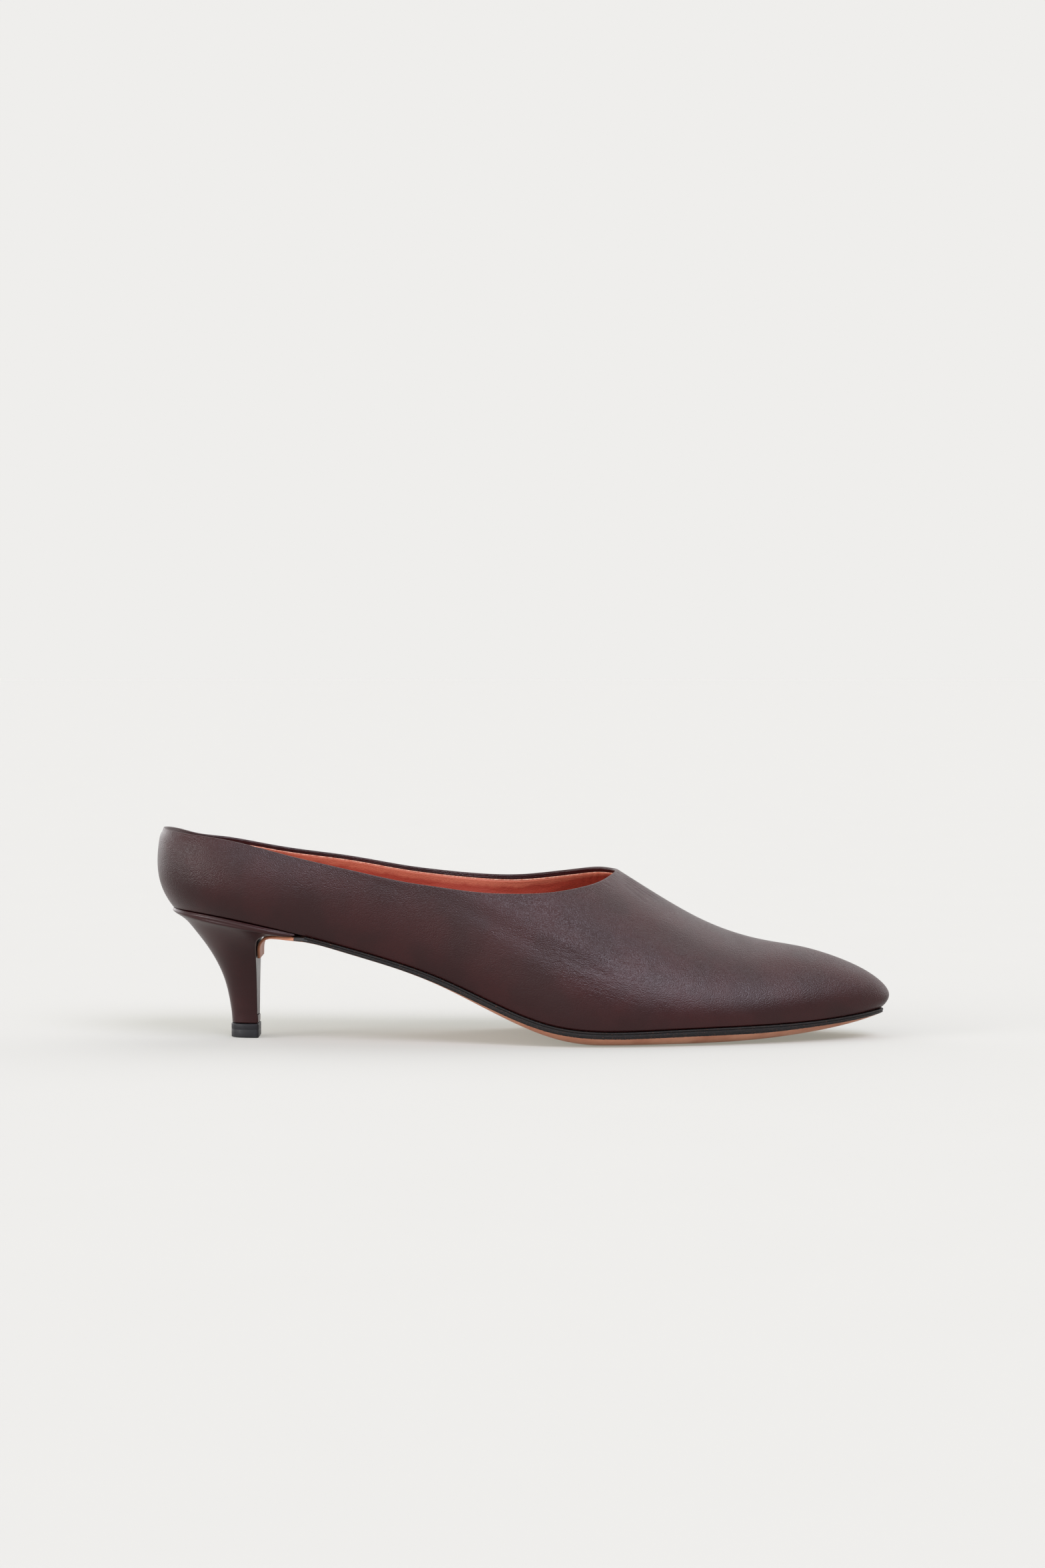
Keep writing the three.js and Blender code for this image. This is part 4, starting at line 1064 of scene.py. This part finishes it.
def build_upper(shape):
    """The leather of the upper: its outer face, the turned topline and the facing inside it."""
    counts, rows, radius = (140, 70, 150), 104, shape.fold_radius
    tuck_depth, tight_share, back_curl, curl_width = 1.6, 0.55, 0.7, 1.6
    faces, throat = both_sides(shape, counts, rows, radius)
    q = np.concatenate(shape.columns(counts, radius))
    sheet, numbers = Sheet(), {}
    for side, points in faces.items():
        way = travelled(points)
        tuck = points[:1].copy()
        tuck[0] -= shape.outward(q, side) * np.minimum(tuck_depth, shape.half(q, side) * 0.8)[:, None]
        tuck[0, :, 2] -= shape.seam_gap * 0.6
        block = np.concatenate([tuck, points])
        full = np.concatenate([way[:1], way])
        from_ridge = way[-1] - full
        grain = 0.3 + 0.7 * ease(full / np.maximum(way[-1], 1.0) / tight_share)
        creased = patch(block[..., 0], block[..., 2], CREASED)
        folded = patch(block[..., 0], from_ridge, FOLDED) * ease(from_ridge / 1.5)
        numbers[side] = sheet.add_points(
            block, grain=grain, from_ridge=from_ridge, up=full, creased=creased, folded=folded
        )
        sheet.add_grid(numbers[side], flip=side == "medial")
    sheet.weld()
    normals = sheet.normals()
    along, from_ridge = sheet.all_points[:, 0], sheet.all_marks["from_ridge"]
    past_throat = along - shape.throat_along
    relief = crease_relief(sheet.all_points) * mix(ease(from_ridge / 3), 1.0, ease(past_throat / 4))
    relief += throat_relief(shape, along, from_ridge)
    relief *= ease(sheet.all_marks["up"] / 4)
    relief -= back_curl * bell(from_ridge, curl_width) * ease((22 - along) / 16)
    sheet.all_points += normals * relief[:, None]
    ring = sheet.ring(numbers, throat)
    band = turned_edge(sheet.all_points[ring], normals[ring], radius, shape.facing)
    sheet.extend(ring, band, True, grain=1.0, up=20.0)
    return sheet


def build_lining(shape):
    """The lining, a little inside the upper, and the points of its cut edge."""
    counts, rows = (110, 56, 90), 40
    drop = shape.fold_radius + shape.facing
    depth = 2 * shape.fold_radius + shape.lining_thickness
    faces, throat = both_sides(shape, counts, rows, drop)
    sheet, numbers = Sheet(), {}
    for side, points in faces.items():
        way = travelled(points)
        numbers[side] = sheet.add_points(points, below=way[-1] - way, up=way)
        sheet.add_grid(numbers[side], flip=side == "lateral")
    sheet.weld()
    inward = sheet.normals()
    x, below = sheet.all_points[:, 0], sheet.all_marks["below"]
    # Puckers inside the throat, and a soft roll along the foot of the lining's upper strip
    pucker_depth, roll_depth, strip, wave = 0.09, 0.3, 6.2, 1.6
    pucker = np.sin(x / 0.46 + 0.8 * np.sin(x / 1.7)) * bell(x - 149, 6.5) * bell(below - 2.5, 3.5)
    roll = bell(below - strip - 0.8 * np.sin(x / 6.0) - 0.5 * np.sin(x / 2.3), 1.6) * ease((150 - x) / 20)
    relief = pucker_depth * pucker + roll_depth * roll + undulation(sheet.all_points) * wave
    relief *= ease(below / 1.2) * ease(sheet.all_marks["up"] / 3)
    sheet.all_points = sheet.all_points + inward * (depth + relief)[:, None]
    # Round the counter the lining's edge sits lower
    back_drop = 1.0
    sheet.all_points[:, 2] -= back_drop * ease((34 - x) / 20) * ease((6 - below) / 6)
    ring = sheet.ring(numbers, throat)
    cut = sheet.all_points[ring]
    edge = cut - inward[ring] * shape.lining_thickness * 0.5
    # A lip closes the lining onto the facing
    lip = cut - inward[ring] * (shape.lining_thickness + 0.5)
    sheet.extend(ring, lip[None], False)
    return sheet, edge


def build_sock(shape):
    """The insole's cover: a dished top and an edge that meets the lining."""
    stations, across = 150, 18
    clearance, dish, rounding, skirt_foot, wave = 0.15, 0.7, 0.5, 0.2, 0.05
    q = np.linspace(0, TIP, stations)
    inset = 2 * shape.fold_radius + shape.lining_thickness + clearance
    rims = {}
    for side in SIDES:
        foot, out = shape.feather(q, side), shape.outward(q, side)
        if side == "medial":
            out[0] = rims["back"]
        rims["back"] = out[0].copy()
        rims[side] = foot - out * np.minimum(inset, shape.half(q, side) + 2.0)[:, None]
    rims["lateral"][[0, -1], 1] = rims["medial"][[0, -1], 1] = 0.0
    sheet = Sheet()
    rows = []
    top = shape.seam_gap / 2 + shape.sock_thickness
    for v in np.linspace(-1, 1, across + 1):
        row = mix(rims["lateral"], rims["medial"], (v + 1) / 2)
        row[:, 2] += top - dish * (1 - v * v) - rounding * abs(v) ** 14
        rows.append(row)
    skirt = [rims["lateral"].copy(), rims["medial"].copy()]
    for rim in skirt:
        rim[:, 2] += skirt_foot
    block = np.stack([skirt[0], *rows, skirt[1]])
    # Marked as lying far below the topline, so the whole sock takes the lining's painted shade colour.
    sheet.add_grid(sheet.add_points(block, below=20.0))
    sheet.weld()
    x, y, _ = sheet.all_points.T
    sheet.all_points[:, 2] += wave * np.sin(x / 5.1 + y / 3.3) * bell(y, 18)
    return sheet


def sole_profile(shape, total, edge, reach):
    """The sole's edge from its top face to the middle of its bottom: how far out and how far down each
    point lies, and whether it is dyed."""
    bevel = np.maximum(total - edge, 0.03)
    run = np.minimum(bevel * 3.6, reach)
    over = shape.edge_overhang
    bead = np.minimum(shape.bead_radius * 2, edge / 2)
    rows = [
        (over - 1.6, 0.0 * edge, True),
        (over - 0.5, 0.0 * edge, True),
        (over - 0.22, 0.12 * edge, True),
        (over - 0.2, bead, True),
        (over - 0.11, bead + 0.1 * (edge - bead), True),
        (over - 0.07, bead + 0.4 * (edge - bead), True),
        (over - 0.07, bead + 0.75 * (edge - bead), True),
        (over - 0.11, bead + 0.94 * (edge - bead), True),
        (over - 0.18, edge, True),
    ]
    rows = [(np.full_like(edge, out), down, dyed) for out, down, dyed in rows]
    for share in (0.04, 0.12, 0.22, 0.35, 0.5, 0.68, 0.85, 1.0):
        rows.append((over - 0.18 - run * share, edge + bevel * (1 - (1 - share) ** 2.7), False))
    return rows


def flap_sections(shape):
    """Where the sole leaves the feather line and turns down the breast: how far along, how high, how far
    it has turned and how wide it is, from the flap's end up to the sole."""
    face = shape.breast_along + shape.seam_gap
    root = shape.feather_height(shape.station_at(shape.flap_start)) - shape.seam_gap / 2
    level = root - 0.6
    centre_x, centre_z = face + shape.flap_radius, level - shape.flap_radius
    sections = [((shape.flap_start + centre_x) / 2, mix(level, root, 0.2), 0.0, 0.94)]
    for row in FLAP:
        tilt = math.pi / 2 * row["turn"]
        x, z = centre_x - shape.flap_radius * math.sin(tilt), centre_z + shape.flap_radius * math.cos(tilt)
        sections.append((x, z, tilt, row["half"]))
    sections.append((face, (centre_z + shape.flap_end) / 2, math.pi / 2, 0.405))
    sections.append((face, shape.flap_end, math.pi / 2, 0.39))
    curves = [smooth_curve(range(len(sections)), values) for values in zip(*sections)]
    at = np.linspace(len(sections) - 1, 0, 56)
    return [curve(at) for curve in curves]


def eased_corner(rows, along, reach):
    """Smooths rows of points where they pass a place along the shoe, more towards the bottom row."""
    deep = np.linspace(0.25, 1.0, len(rows))[:, None]
    for _ in range(60):
        share = bell(rows[:, 1:-1, 0] - along, reach) * deep
        middle = (rows[:, :-2] + rows[:, 2:]) / 2
        rows[:, 1:-1, 2] = mix(rows[:, 1:-1, 2], middle[..., 2], 0.5 * share)
    return rows


def sole_rings(shape, q):
    """Rows of points for each side, from the top of the sole's edge to the middle of its bottom and
    from the flap's end to the toe, with the rows that are dyed and the column where the dye begins."""
    thickness, edge_curve = by_along(SOLE, "thickness"), by_along(SOLE, "edge")
    share, link_steps = shape.along_curve(q), 3
    fx, fz, tilt, half = flap_sections(shape)
    thin = np.full_like(fx, shape.flap_thickness)
    flap_rows = sole_profile(shape, thin, thin, np.full_like(fx, 0.1))
    rings = {}
    for side in SIDES:
        top, out = shape.feather(q, side), shape.outward(q, side)
        top[:, 2] -= shape.seam_gap / 2
        edge = shape.edge_height * edge_curve(share)
        total = np.minimum(np.maximum(shape.sole_thickness * thickness(share), edge), top[:, 2])
        main_rows = sole_profile(shape, total, np.minimum(edge, total), 0.85 * shape.half(q, side))
        rows = []
        for (flap_out, flap_down, _), (main_out, main_down, _) in zip(flap_rows, main_rows):
            y = SIGN[side] * (half * shape.seat_width / 2 - shape.edge_overhang + flap_out)
            flap = np.stack([fx + np.sin(tilt) * flap_down, y, fz - np.cos(tilt) * flap_down], axis=-1)
            main = top + out * np.maximum(main_out, -shape.half(q, side))[:, None]
            main[:, 2] -= main_down
            main[-1, 1] = 0.0
            link = mix(flap[-1], main[0], np.linspace(0, 1, link_steps + 2)[1:-1, None])
            rows.append(np.concatenate([flap, link, main]))
        rings[side] = eased_corner(np.stack(rows), shape.flap_start, 9.0)
    return rings, [row[2] for row in main_rows], len(fx) + link_steps + 1


def sole_bead(shape, q):
    """The line of the bead, round the top of the sole's edge."""
    overhang, lines = shape.edge_overhang - shape.bead_radius + 0.08, []
    for side in SIDES:
        line = shape.feather(q, side) + shape.outward(q, side) * overhang
        line[:, 2] -= shape.seam_gap / 2 + shape.bead_radius * 0.9
        lines.append(line)
    lateral, medial = lines
    lateral[-1, 1] = 0.0
    return np.concatenate([lateral, medial[-2::-1]])


def build_sole(shape):
    """The outsole: dyed edge, bevelled bottom and the flap down the heel's breast."""
    q = shape.station_at(np.linspace(shape.flap_start + 1.6, shape.length * 0.975, 190))
    q = np.concatenate([q, np.linspace(q[-1], TIP, 22)[1:]])
    rings, dyed, dye_start = sole_rings(shape, q)
    bottom, bare_width, undyed = dyed.index(False), 1.3, 9.0
    sheet = Sheet()
    for side in SIDES:
        way = travelled(rings[side])
        bare = bare_width * ease((shape.flap_start - 1 - rings[side][..., 0]) / 5)
        numbers = sheet.add_points(rings[side], from_dye=np.maximum(way - way[bottom - 1], bare))
        flip = side == "lateral"
        sheet.add_grid(numbers[:bottom, : dye_start + 1], flip=flip, finish=0)
        sheet.add_grid(numbers[:bottom, dye_start:], flip=flip, finish=1)
        sheet.add_grid(numbers[bottom - 1 :], flip=flip, finish=0)
    # Strips from side to side close the top, the bottom and the flap's end
    for strip, flip in ((np.s_[0, :], False), (np.s_[-1, :], True), (np.s_[:, 0], False)):
        lines = [mix(rings["lateral"][strip], rings["medial"][strip], v) for v in np.linspace(0, 1, 9)]
        sheet.add_grid(sheet.add_points(np.stack(lines), from_dye=undyed), flip=flip, finish=0)
    return sheet.weld(), sole_bead(shape, q)


def heel_sections(shape, steps):
    """The heel's sections from the seat to the foot: rear, front, their heights and the half width."""
    foot = shape.tip_height + shape.seam_gap
    seat_rear = shape.along(0) - shape.heel_rim
    tip_rear = shape.tip_along + shape.tip_margin
    wedge = shape.flap_start - 1.5 - shape.breast_along
    rows = [
        (
            mix(seat_rear, tip_rear, row["rear"]),
            shape.seat_height * row["rear_height"],
            shape.breast_along + wedge * row["front"],
            shape.seat_height * row["front_height"],
            shape.seat_width * row["half"],
        )
        for row in HEEL
    ]
    rows.append((tip_rear, foot, shape.breast_along, foot, shape.tip_width / 2 - shape.tip_margin))
    curves = [smooth_curve(range(len(rows)), values) for values in zip(*rows)]
    at = np.linspace(0, len(rows) - 1, steps)
    return [curve(at)[:, None] for curve in curves]


def heel_loops(shape, angles):
    """A loop round the heel at each of its sections, over the rounded rear and the hollow breast."""
    power, breast_hollow, hollow_below = 2 / 2.3, 0.45, 25
    back, sideways = np.cos(angles) ** power, np.abs(np.sin(angles)) ** power
    back[0] = back[-1] = 0.0
    rear, rear_height, front, front_height, half = heel_sections(shape, 90)
    corner = np.minimum(0.5, half * 0.2)
    inner_front = front - corner
    turn = np.linspace(0, math.pi / 2, 6)[1:]
    arc_x = inner_front + corner * np.sin(turn)
    arc_y = half - corner + corner * np.cos(turn)
    cross = np.linspace(-1, 1, 19)[1:-1]
    hollow = breast_hollow * (1 - cross**2) * ease((hollow_below - front_height) / 12)
    behind_x = mix(inner_front, rear, back[None, :])
    behind_y = half * sideways * np.where(angles < 0, 1.0, -1.0)
    x = np.concatenate([behind_x, arc_x, front - hollow, arc_x[:, ::-1]], axis=1)
    y = np.concatenate([behind_y, -arc_y, (half - corner) * cross, arc_y[:, ::-1]], axis=1)
    z = mix(front_height, rear_height, (front - x) / (front - rear))
    return np.stack([x, y, z], axis=-1), front[0], rear[0], half[0]


def heel_seat(shape, loop, half, angles):
    """The loop of the heel's seat: the first section's loop, drawn out to the feather line."""
    seat, behind = loop.copy(), len(angles)
    q = shape.station_at(np.maximum(seat[:, 0], shape.along(0)))
    reach = np.where(seat[:, 1] > 0, shape.half(q, "medial"), shape.half(q, "lateral"))
    width = np.abs(seat[:, 1]) / np.maximum(half, 1e-6)
    rimmed = np.sign(seat[:, 1]) * (reach + shape.heel_rim * ease(width * 2))
    seat[:behind, 1] = rimmed[:behind]
    seat[behind // 2, 1] = 0.0
    seat[behind:, 1] *= reach[behind:] / half
    seat[:, 2] = shape.feather_height(q) - shape.seam_gap / 2
    return seat


def build_heel(shape):
    """The covered heel: a rounded lip under the seat, a rounded rear and a hollow breast."""
    angles = np.linspace(-math.pi / 2, math.pi / 2, 81)
    loops, front, rear, half = heel_loops(shape, angles)
    seat = heel_seat(shape, loops[0], half, angles)
    top = [mix(seat, loops[0], t) for t in np.linspace(0, 1, 7)[:-1]]
    loops = np.concatenate([np.stack(top), loops])
    # A lip rolls out just under the seat, beside the wall but not at the rear or over the breast
    lip_down, lip_width, lip_rise, tuck_width, tuck_drop = 1.3, 0.55, 0.13, 0.6, 0.15
    down = travelled(loops)
    tucked = bell(down, tuck_width)
    away = np.stack([loops[..., 0] - (front + rear) / 2, loops[..., 1], 0 * loops[..., 0]], axis=-1)
    away[..., 0] = np.minimum(away[..., 0], 0.0)
    beside = ease((loops[..., 0] - rear) / 6) * ease((shape.flap_start - 4 - loops[..., 0]) / 8)
    roll = bell(down - lip_down, lip_width) * lip_rise * beside - tucked * (0.2 + 0.3 * beside)
    loops = loops + unit(away) * roll[..., None]
    loops[..., 2] -= tucked * tuck_drop * beside
    sheet = Sheet()
    sheet.add_grid(sheet.add_points(loops, grain=0.1), closed=True, flip=True)
    for loop, flip in ((loops[0], False), (loops[-1], True)):
        rings = np.stack([mix(loop, loop.mean(axis=0), t) for t in (0.0, 0.35, 0.7, 1.0)])
        sheet.add_grid(sheet.add_points(rings, grain=0.1), closed=True, flip=flip)
    return sheet.weld()


def rounded_slab(outline, levels):
    """A closed solid from an outline and its levels: height and how far in the outline is drawn."""
    centre = outline.mean(axis=0)
    step = unit(np.roll(outline, -1, axis=0) - np.roll(outline, 1, axis=0))
    inward = np.stack([-step[:, 1], step[:, 0]], axis=-1)
    inward *= np.sign(((centre - outline) * inward).sum(axis=1)[:, None])
    rows = []
    for height, inset in levels:
        flat = outline + inward * inset
        rows.append(np.column_stack([flat, np.full(len(flat), height)]))
    for end in (0, -1):
        middle = np.array([*centre, levels[end][0]])
        caps = [mix(rows[end], middle, t) for t in (0.3, 0.65, 1.0)]
        rows = [*caps[::-1], *rows] if end == 0 else [*rows, *caps]
    return np.stack(rows)


def top_piece_outline(shape):
    """The D of the top piece, round at the rear and straight at the front."""
    half, front = shape.tip_width / 2, shape.breast_along + shape.tab_thickness + 0.1
    corner, flank, fullness = 0.9, shape.tip_along + shape.tip_width / 4, 0.62
    t = np.linspace(0, 1, 15)[:-1]
    middle = shape.tip_along
    rear = [(front - corner, half), (flank, half), (middle, half * fullness), (middle, 0.0)]
    rear = [np.array(point) for point in rear]
    upper = on_curve(rear, t)
    rest = on_curve([p * (1, -1) for p in rear[::-1]], t)
    turn = np.linspace(0, math.pi / 2, 6)
    low = np.column_stack([front - corner + corner * np.sin(turn), -half + corner - corner * np.cos(turn)])
    straight = np.column_stack([np.full(7, front), np.linspace(corner - half, half - corner, 9)[1:-1]])
    high = np.column_stack([front - corner + corner * np.cos(turn), half - corner + corner * np.sin(turn)])
    return np.concatenate([upper, rest, low, straight, high[:-1]])


def build_top_piece(shape):
    """The rubber top piece: a waist line half way up, softened edges and a groove round its tread."""
    edge, height = shape.tip_edge, shape.tip_height
    turns = np.linspace(0, math.pi / 2, 6)
    levels = [(0.12, edge + 0.45), (0.12, edge + 0.35), (0.0, edge + 0.25)]
    levels += [(edge * (1 - math.cos(turn)), edge * (1 - math.sin(turn))) for turn in turns]
    levels += [(height * 0.55, 0.0), (height * 0.58, 0.05), (height * 0.61, 0.0)]
    levels += [(height - edge * (1 - math.sin(turn)), edge * (1 - math.cos(turn))) for turn in turns[:-1]]
    levels.append((height, edge))
    sheet = Sheet()
    rows = rounded_slab(top_piece_outline(shape), levels)
    sheet.add_grid(sheet.add_points(rows), closed=True, flip=False)
    return sheet.weld()


def build_tab(shape):
    """The turned end of the heel cover at the foot of the breast."""
    foot = shape.tip_height + shape.seam_gap
    half = shape.tip_width / 2 - shape.tip_margin - 0.25
    u = np.linspace(0, 2 * math.pi, 72, endpoint=False)
    across, up = (np.sign(wave) * np.abs(wave) ** 0.35 for wave in (np.cos(u), np.sin(u)))
    middle = foot + shape.tab_height / 2
    y, z = half * across, middle + shape.tab_height / 2 * up
    z += 0.12 * np.sin(y * 1.3 + 0.4) * (z > middle)
    depth, soft = shape.tab_thickness, 0.14
    turns = np.linspace(0, math.pi / 2, 5)
    levels = [(0.0, 0.0)]
    levels += [(depth - soft * (1 - math.sin(turn)), soft * (1 - math.cos(turn))) for turn in turns]
    slab = rounded_slab(np.column_stack([y, z]), levels)
    base = shape.breast_along - 0.12
    points = np.stack([base + slab[..., 2], slab[..., 0], slab[..., 1]], axis=-1)
    sheet = Sheet()
    sheet.add_grid(sheet.add_points(points, grain=0.4), closed=True, flip=False)
    return sheet.weld()


class PieceOperator:
    """What the piece operators share."""

    bl_options = {"REGISTER", "UNDO"}

    def execute(self, context):
        self.build(Last(context.scene.mule_sizes))
        return {"FINISHED"}


class MULE_OT_upper(PieceOperator, bpy.types.Operator):
    """Make the leather of the upper, with its creases and turned topline"""

    bl_idname = "mule.upper"
    bl_label = "Upper"

    def build(self, shape):
        leather = material_once("smooth_leather", smooth_leather)
        skin = make_piece("upper_skin", build_upper(shape), [leather])
        declare(skin, "upper", "upper")


class MULE_OT_lining(PieceOperator, bpy.types.Operator):
    """Make the lining, its cut edge and the sock"""

    bl_idname = "mule.lining"
    bl_label = "Lining and sock"

    def build(self, shape):
        kid = material_once("lining_leather", lining_leather)
        sheet, edge = build_lining(shape)
        declare(make_piece("lining", sheet, [kid]), "lining", "upper")
        raw = material_once("lining_cut_edge", cut_edge)
        cord = cord_along("lining_edge", edge, True, raw, 0.24, roughness=0.1, seed=3.0)
        declare(cord, "lining", "upper")
        declare(make_piece("sock", build_sock(shape), [kid]), "lining", "insole")


class MULE_OT_sole(PieceOperator, bpy.types.Operator):
    """Make the outsole and the bead round the top of its edge"""

    bl_idname = "mule.sole"
    bl_label = "Sole"

    def build(self, shape):
        bottom = material_once("sole_leather", sole_leather)
        dye = material_once("dyed_edge", dyed_edge)
        sheet, bead = build_sole(shape)
        declare(make_piece("sole", sheet, [bottom, dye]), "sole", "outsole")
        radius = shape.bead_radius
        cord = cord_along("sole_bead", bead, False, dye, radius, sides=10, roughness=0.12, seed=7.0)
        declare(cord, "sole", "outsole")


class MULE_OT_heel(PieceOperator, bpy.types.Operator):
    """Make the covered heel and the turned end of its cover"""

    bl_idname = "mule.heel"
    bl_label = "Heel"

    def build(self, shape):
        leather = material_once("smooth_leather", smooth_leather)
        declare(make_piece("heel_cover", build_heel(shape), [leather]), "heel_cover", "heel")
        declare(make_piece("breast_tab", build_tab(shape), [leather]), "heel_cover", "heel")


class MULE_OT_top_piece(PieceOperator, bpy.types.Operator):
    """Make the rubber top piece"""

    bl_idname = "mule.top_piece"
    bl_label = "Top piece"

    def build(self, shape):
        rubber = material_once("worn_rubber", worn_rubber)
        declare(make_piece("top_piece_rubber", build_top_piece(shape), [rubber]), "top_piece", "top_piece")


# The stage
def paper(name):
    """Matt pale studio floor, lit a little from below as on a light table."""
    finish = Finish(name)
    (base,) = shades("floor")
    faint = tuple(value * 0.985 for value in base)
    tone = finish.blend(finish.noise(60, detail=2), base, faint)
    finish.bump(finish.noise(1.2, detail=3), 0.02, 0.4)
    glow, strength = (0.965, 1.0, 0.87, 1.0), 0.247
    return finish.done(tone, 1.0, Specular_IOR_Level=0.0, Emission_Color=glow, Emission_Strength=strength)


def studio_floor():
    """A wide round floor just under the shoe, in metres, in rings that get coarser away from it."""
    turn = np.linspace(0, 2 * math.pi, 49)[:-1]
    reach, height = [0.0, 0.3, 0.6, 1.2, 2.4, 5.0, 10.0, 20.0], -5e-5
    sheet = Sheet()
    rings = np.array([[(r * math.cos(t), r * math.sin(t), height) for t in turn] for r in reach]) / MM
    sheet.add_grid(sheet.add_points(rings), closed=True, flip=True)
    return make_piece("floor", sheet.weld(), [material_once("studio_paper", paper)])


# The soft lamps: heading from +x towards +y, height and width are in degrees.
LAMPS = [
    dict(name="front", heading=-63, height=46, width=34, strength=2.4, tint=(0.87, 0.86, 1.0)),
    dict(name="left", heading=206, height=15, width=26, strength=1.3, tint=(1.0, 0.98, 1.0)),
    dict(name="left_fill", heading=228, height=16, width=70, strength=1.3, tint=(1.0, 0.98, 0.99)),
    dict(name="behind", heading=55, height=52, width=60, strength=1.0, tint=(1.0, 0.97, 1.0)),
    dict(name="rear_left", heading=134, height=10, width=50, strength=1.2, tint=(1.0, 0.98, 1.0)),
    dict(name="rear_right", heading=28, height=10, width=44, strength=0.7, tint=(1.0, 0.98, 1.0)),
]


def soft_lamp(name, heading, height, width, strength, tint):
    """A soft lamp far away. It stands by its heading from +x towards +y and its height, in degrees."""
    lamp = bpy.data.lights.new(name, "SUN")
    lamp.angle, lamp.energy, lamp.color = math.radians(width), strength, tint
    lamp_object = bpy.data.objects.new(name, lamp)
    lamp_object.rotation_euler = (math.radians(90 - height), 0.0, math.radians(heading + 90))
    bpy.context.scene.collection.objects.link(lamp_object)


def studio_world():
    """A white tent all round, a little greyer low down on the photographer's side."""
    backdrop, opening = shades("backdrop", "opening")
    world = bpy.data.worlds.new("studio")
    world.use_nodes = True
    nodes, links = world.node_tree.nodes, world.node_tree.links
    way = nodes.new("ShaderNodeSeparateXYZ")
    links.new(nodes.new("ShaderNodeTexCoord").outputs["Generated"], way.inputs["Vector"])
    facing = nodes.new("ShaderNodeMapRange")
    height = nodes.new("ShaderNodeMapRange")
    for step, axis, low, high in ((facing, "Y", -0.3, -0.95), (height, "Z", 0.75, 0.1)):
        step.interpolation_type = "SMOOTHSTEP"
        step.inputs["From Min"].default_value, step.inputs["From Max"].default_value = low, high
        links.new(way.outputs[axis], step.inputs["Value"])
    share = nodes.new("ShaderNodeMath")
    share.operation = "MULTIPLY"
    links.new(facing.outputs["Result"], share.inputs[0])
    links.new(height.outputs["Result"], share.inputs[1])
    tent = nodes.new("ShaderNodeMix")
    tent.data_type = "RGBA"
    links.new(share.outputs["Value"], tent.inputs["Factor"])
    tent.inputs[6].default_value = (*backdrop, 1.0)
    tent.inputs[7].default_value = (*opening, 1.0)
    links.new(tent.outputs[2], nodes["Background"].inputs["Color"])
    bpy.context.scene.world = world


def photo_camera():
    """The photograph's camera: where it stands, how far it looks down and its lens."""
    focal_pixels, sensor, distance, height, tilt = 5494.5, 36.0, 1.25, 0.13, 2.0
    camera = bpy.data.cameras.new("camera")
    camera.sensor_fit = "VERTICAL"
    camera.sensor_height = camera.sensor_width = sensor
    camera.lens = focal_pixels * sensor / PHOTO_HEIGHT
    camera.clip_end = 50
    camera_object = bpy.data.objects.new("camera", camera)
    middle = in_row_frame(np.array([124.7, 0.0, 0.0]))
    camera_object.location = (middle[0], middle[1] - distance, height)
    camera_object.rotation_euler = (math.radians(90 - tilt), 0.0, 0.0)
    bpy.context.scene.collection.objects.link(camera_object)
    bpy.context.scene.camera = camera_object


class MULE_OT_stage(bpy.types.Operator):
    """Make the floor, the soft lamps and the camera"""

    bl_idname = "mule.stage"
    bl_label = "Stage"
    bl_options = {"REGISTER", "UNDO"}

    def execute(self, context):
        studio_floor()
        studio_world()
        for lamp in LAMPS:
            soft_lamp(**lamp)
        photo_camera()
        context.scene.view_settings.view_transform = "Standard"
        return {"FINISHED"}


class MULE_PT_pieces(bpy.types.Panel):
    """Lists the pieces of the mule, with their sizes and colours"""

    bl_idname = "MULE_PT_pieces"
    bl_label = "Mule"
    bl_space_type = "VIEW_3D"
    bl_region_type = "UI"
    bl_category = "Mule"

    def draw(self, context):
        layout = self.layout
        for operator in OPERATORS:
            layout.operator(operator.bl_idname)
        for title, group in (("Sizes", context.scene.mule_sizes), ("Colours", context.scene.mule_colours)):
            box = layout.box()
            box.label(text=title)
            for name in type(group).__annotations__:
                box.prop(group, name)


OPERATORS = (MULE_OT_stage, MULE_OT_upper, MULE_OT_lining, MULE_OT_sole, MULE_OT_heel, MULE_OT_top_piece)
CLASSES = (MuleSizes, MuleColours, *OPERATORS, MULE_PT_pieces)


def register():
    for cls in CLASSES:
        bpy.utils.register_class(cls)
    bpy.types.Scene.mule_sizes = bpy.props.PointerProperty(type=MuleSizes)
    bpy.types.Scene.mule_colours = bpy.props.PointerProperty(type=MuleColours)


def unregister():
    del bpy.types.Scene.mule_colours
    del bpy.types.Scene.mule_sizes
    for cls in reversed(CLASSES):
        bpy.utils.unregister_class(cls)


def main():
    """Makes the stage and every piece."""
    register()
    bpy.ops.mule.stage()
    bpy.ops.mule.upper()
    bpy.ops.mule.lining()
    bpy.ops.mule.sole()
    bpy.ops.mule.heel()
    bpy.ops.mule.top_piece()
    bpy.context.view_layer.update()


if __name__ == "__main__":
    main()
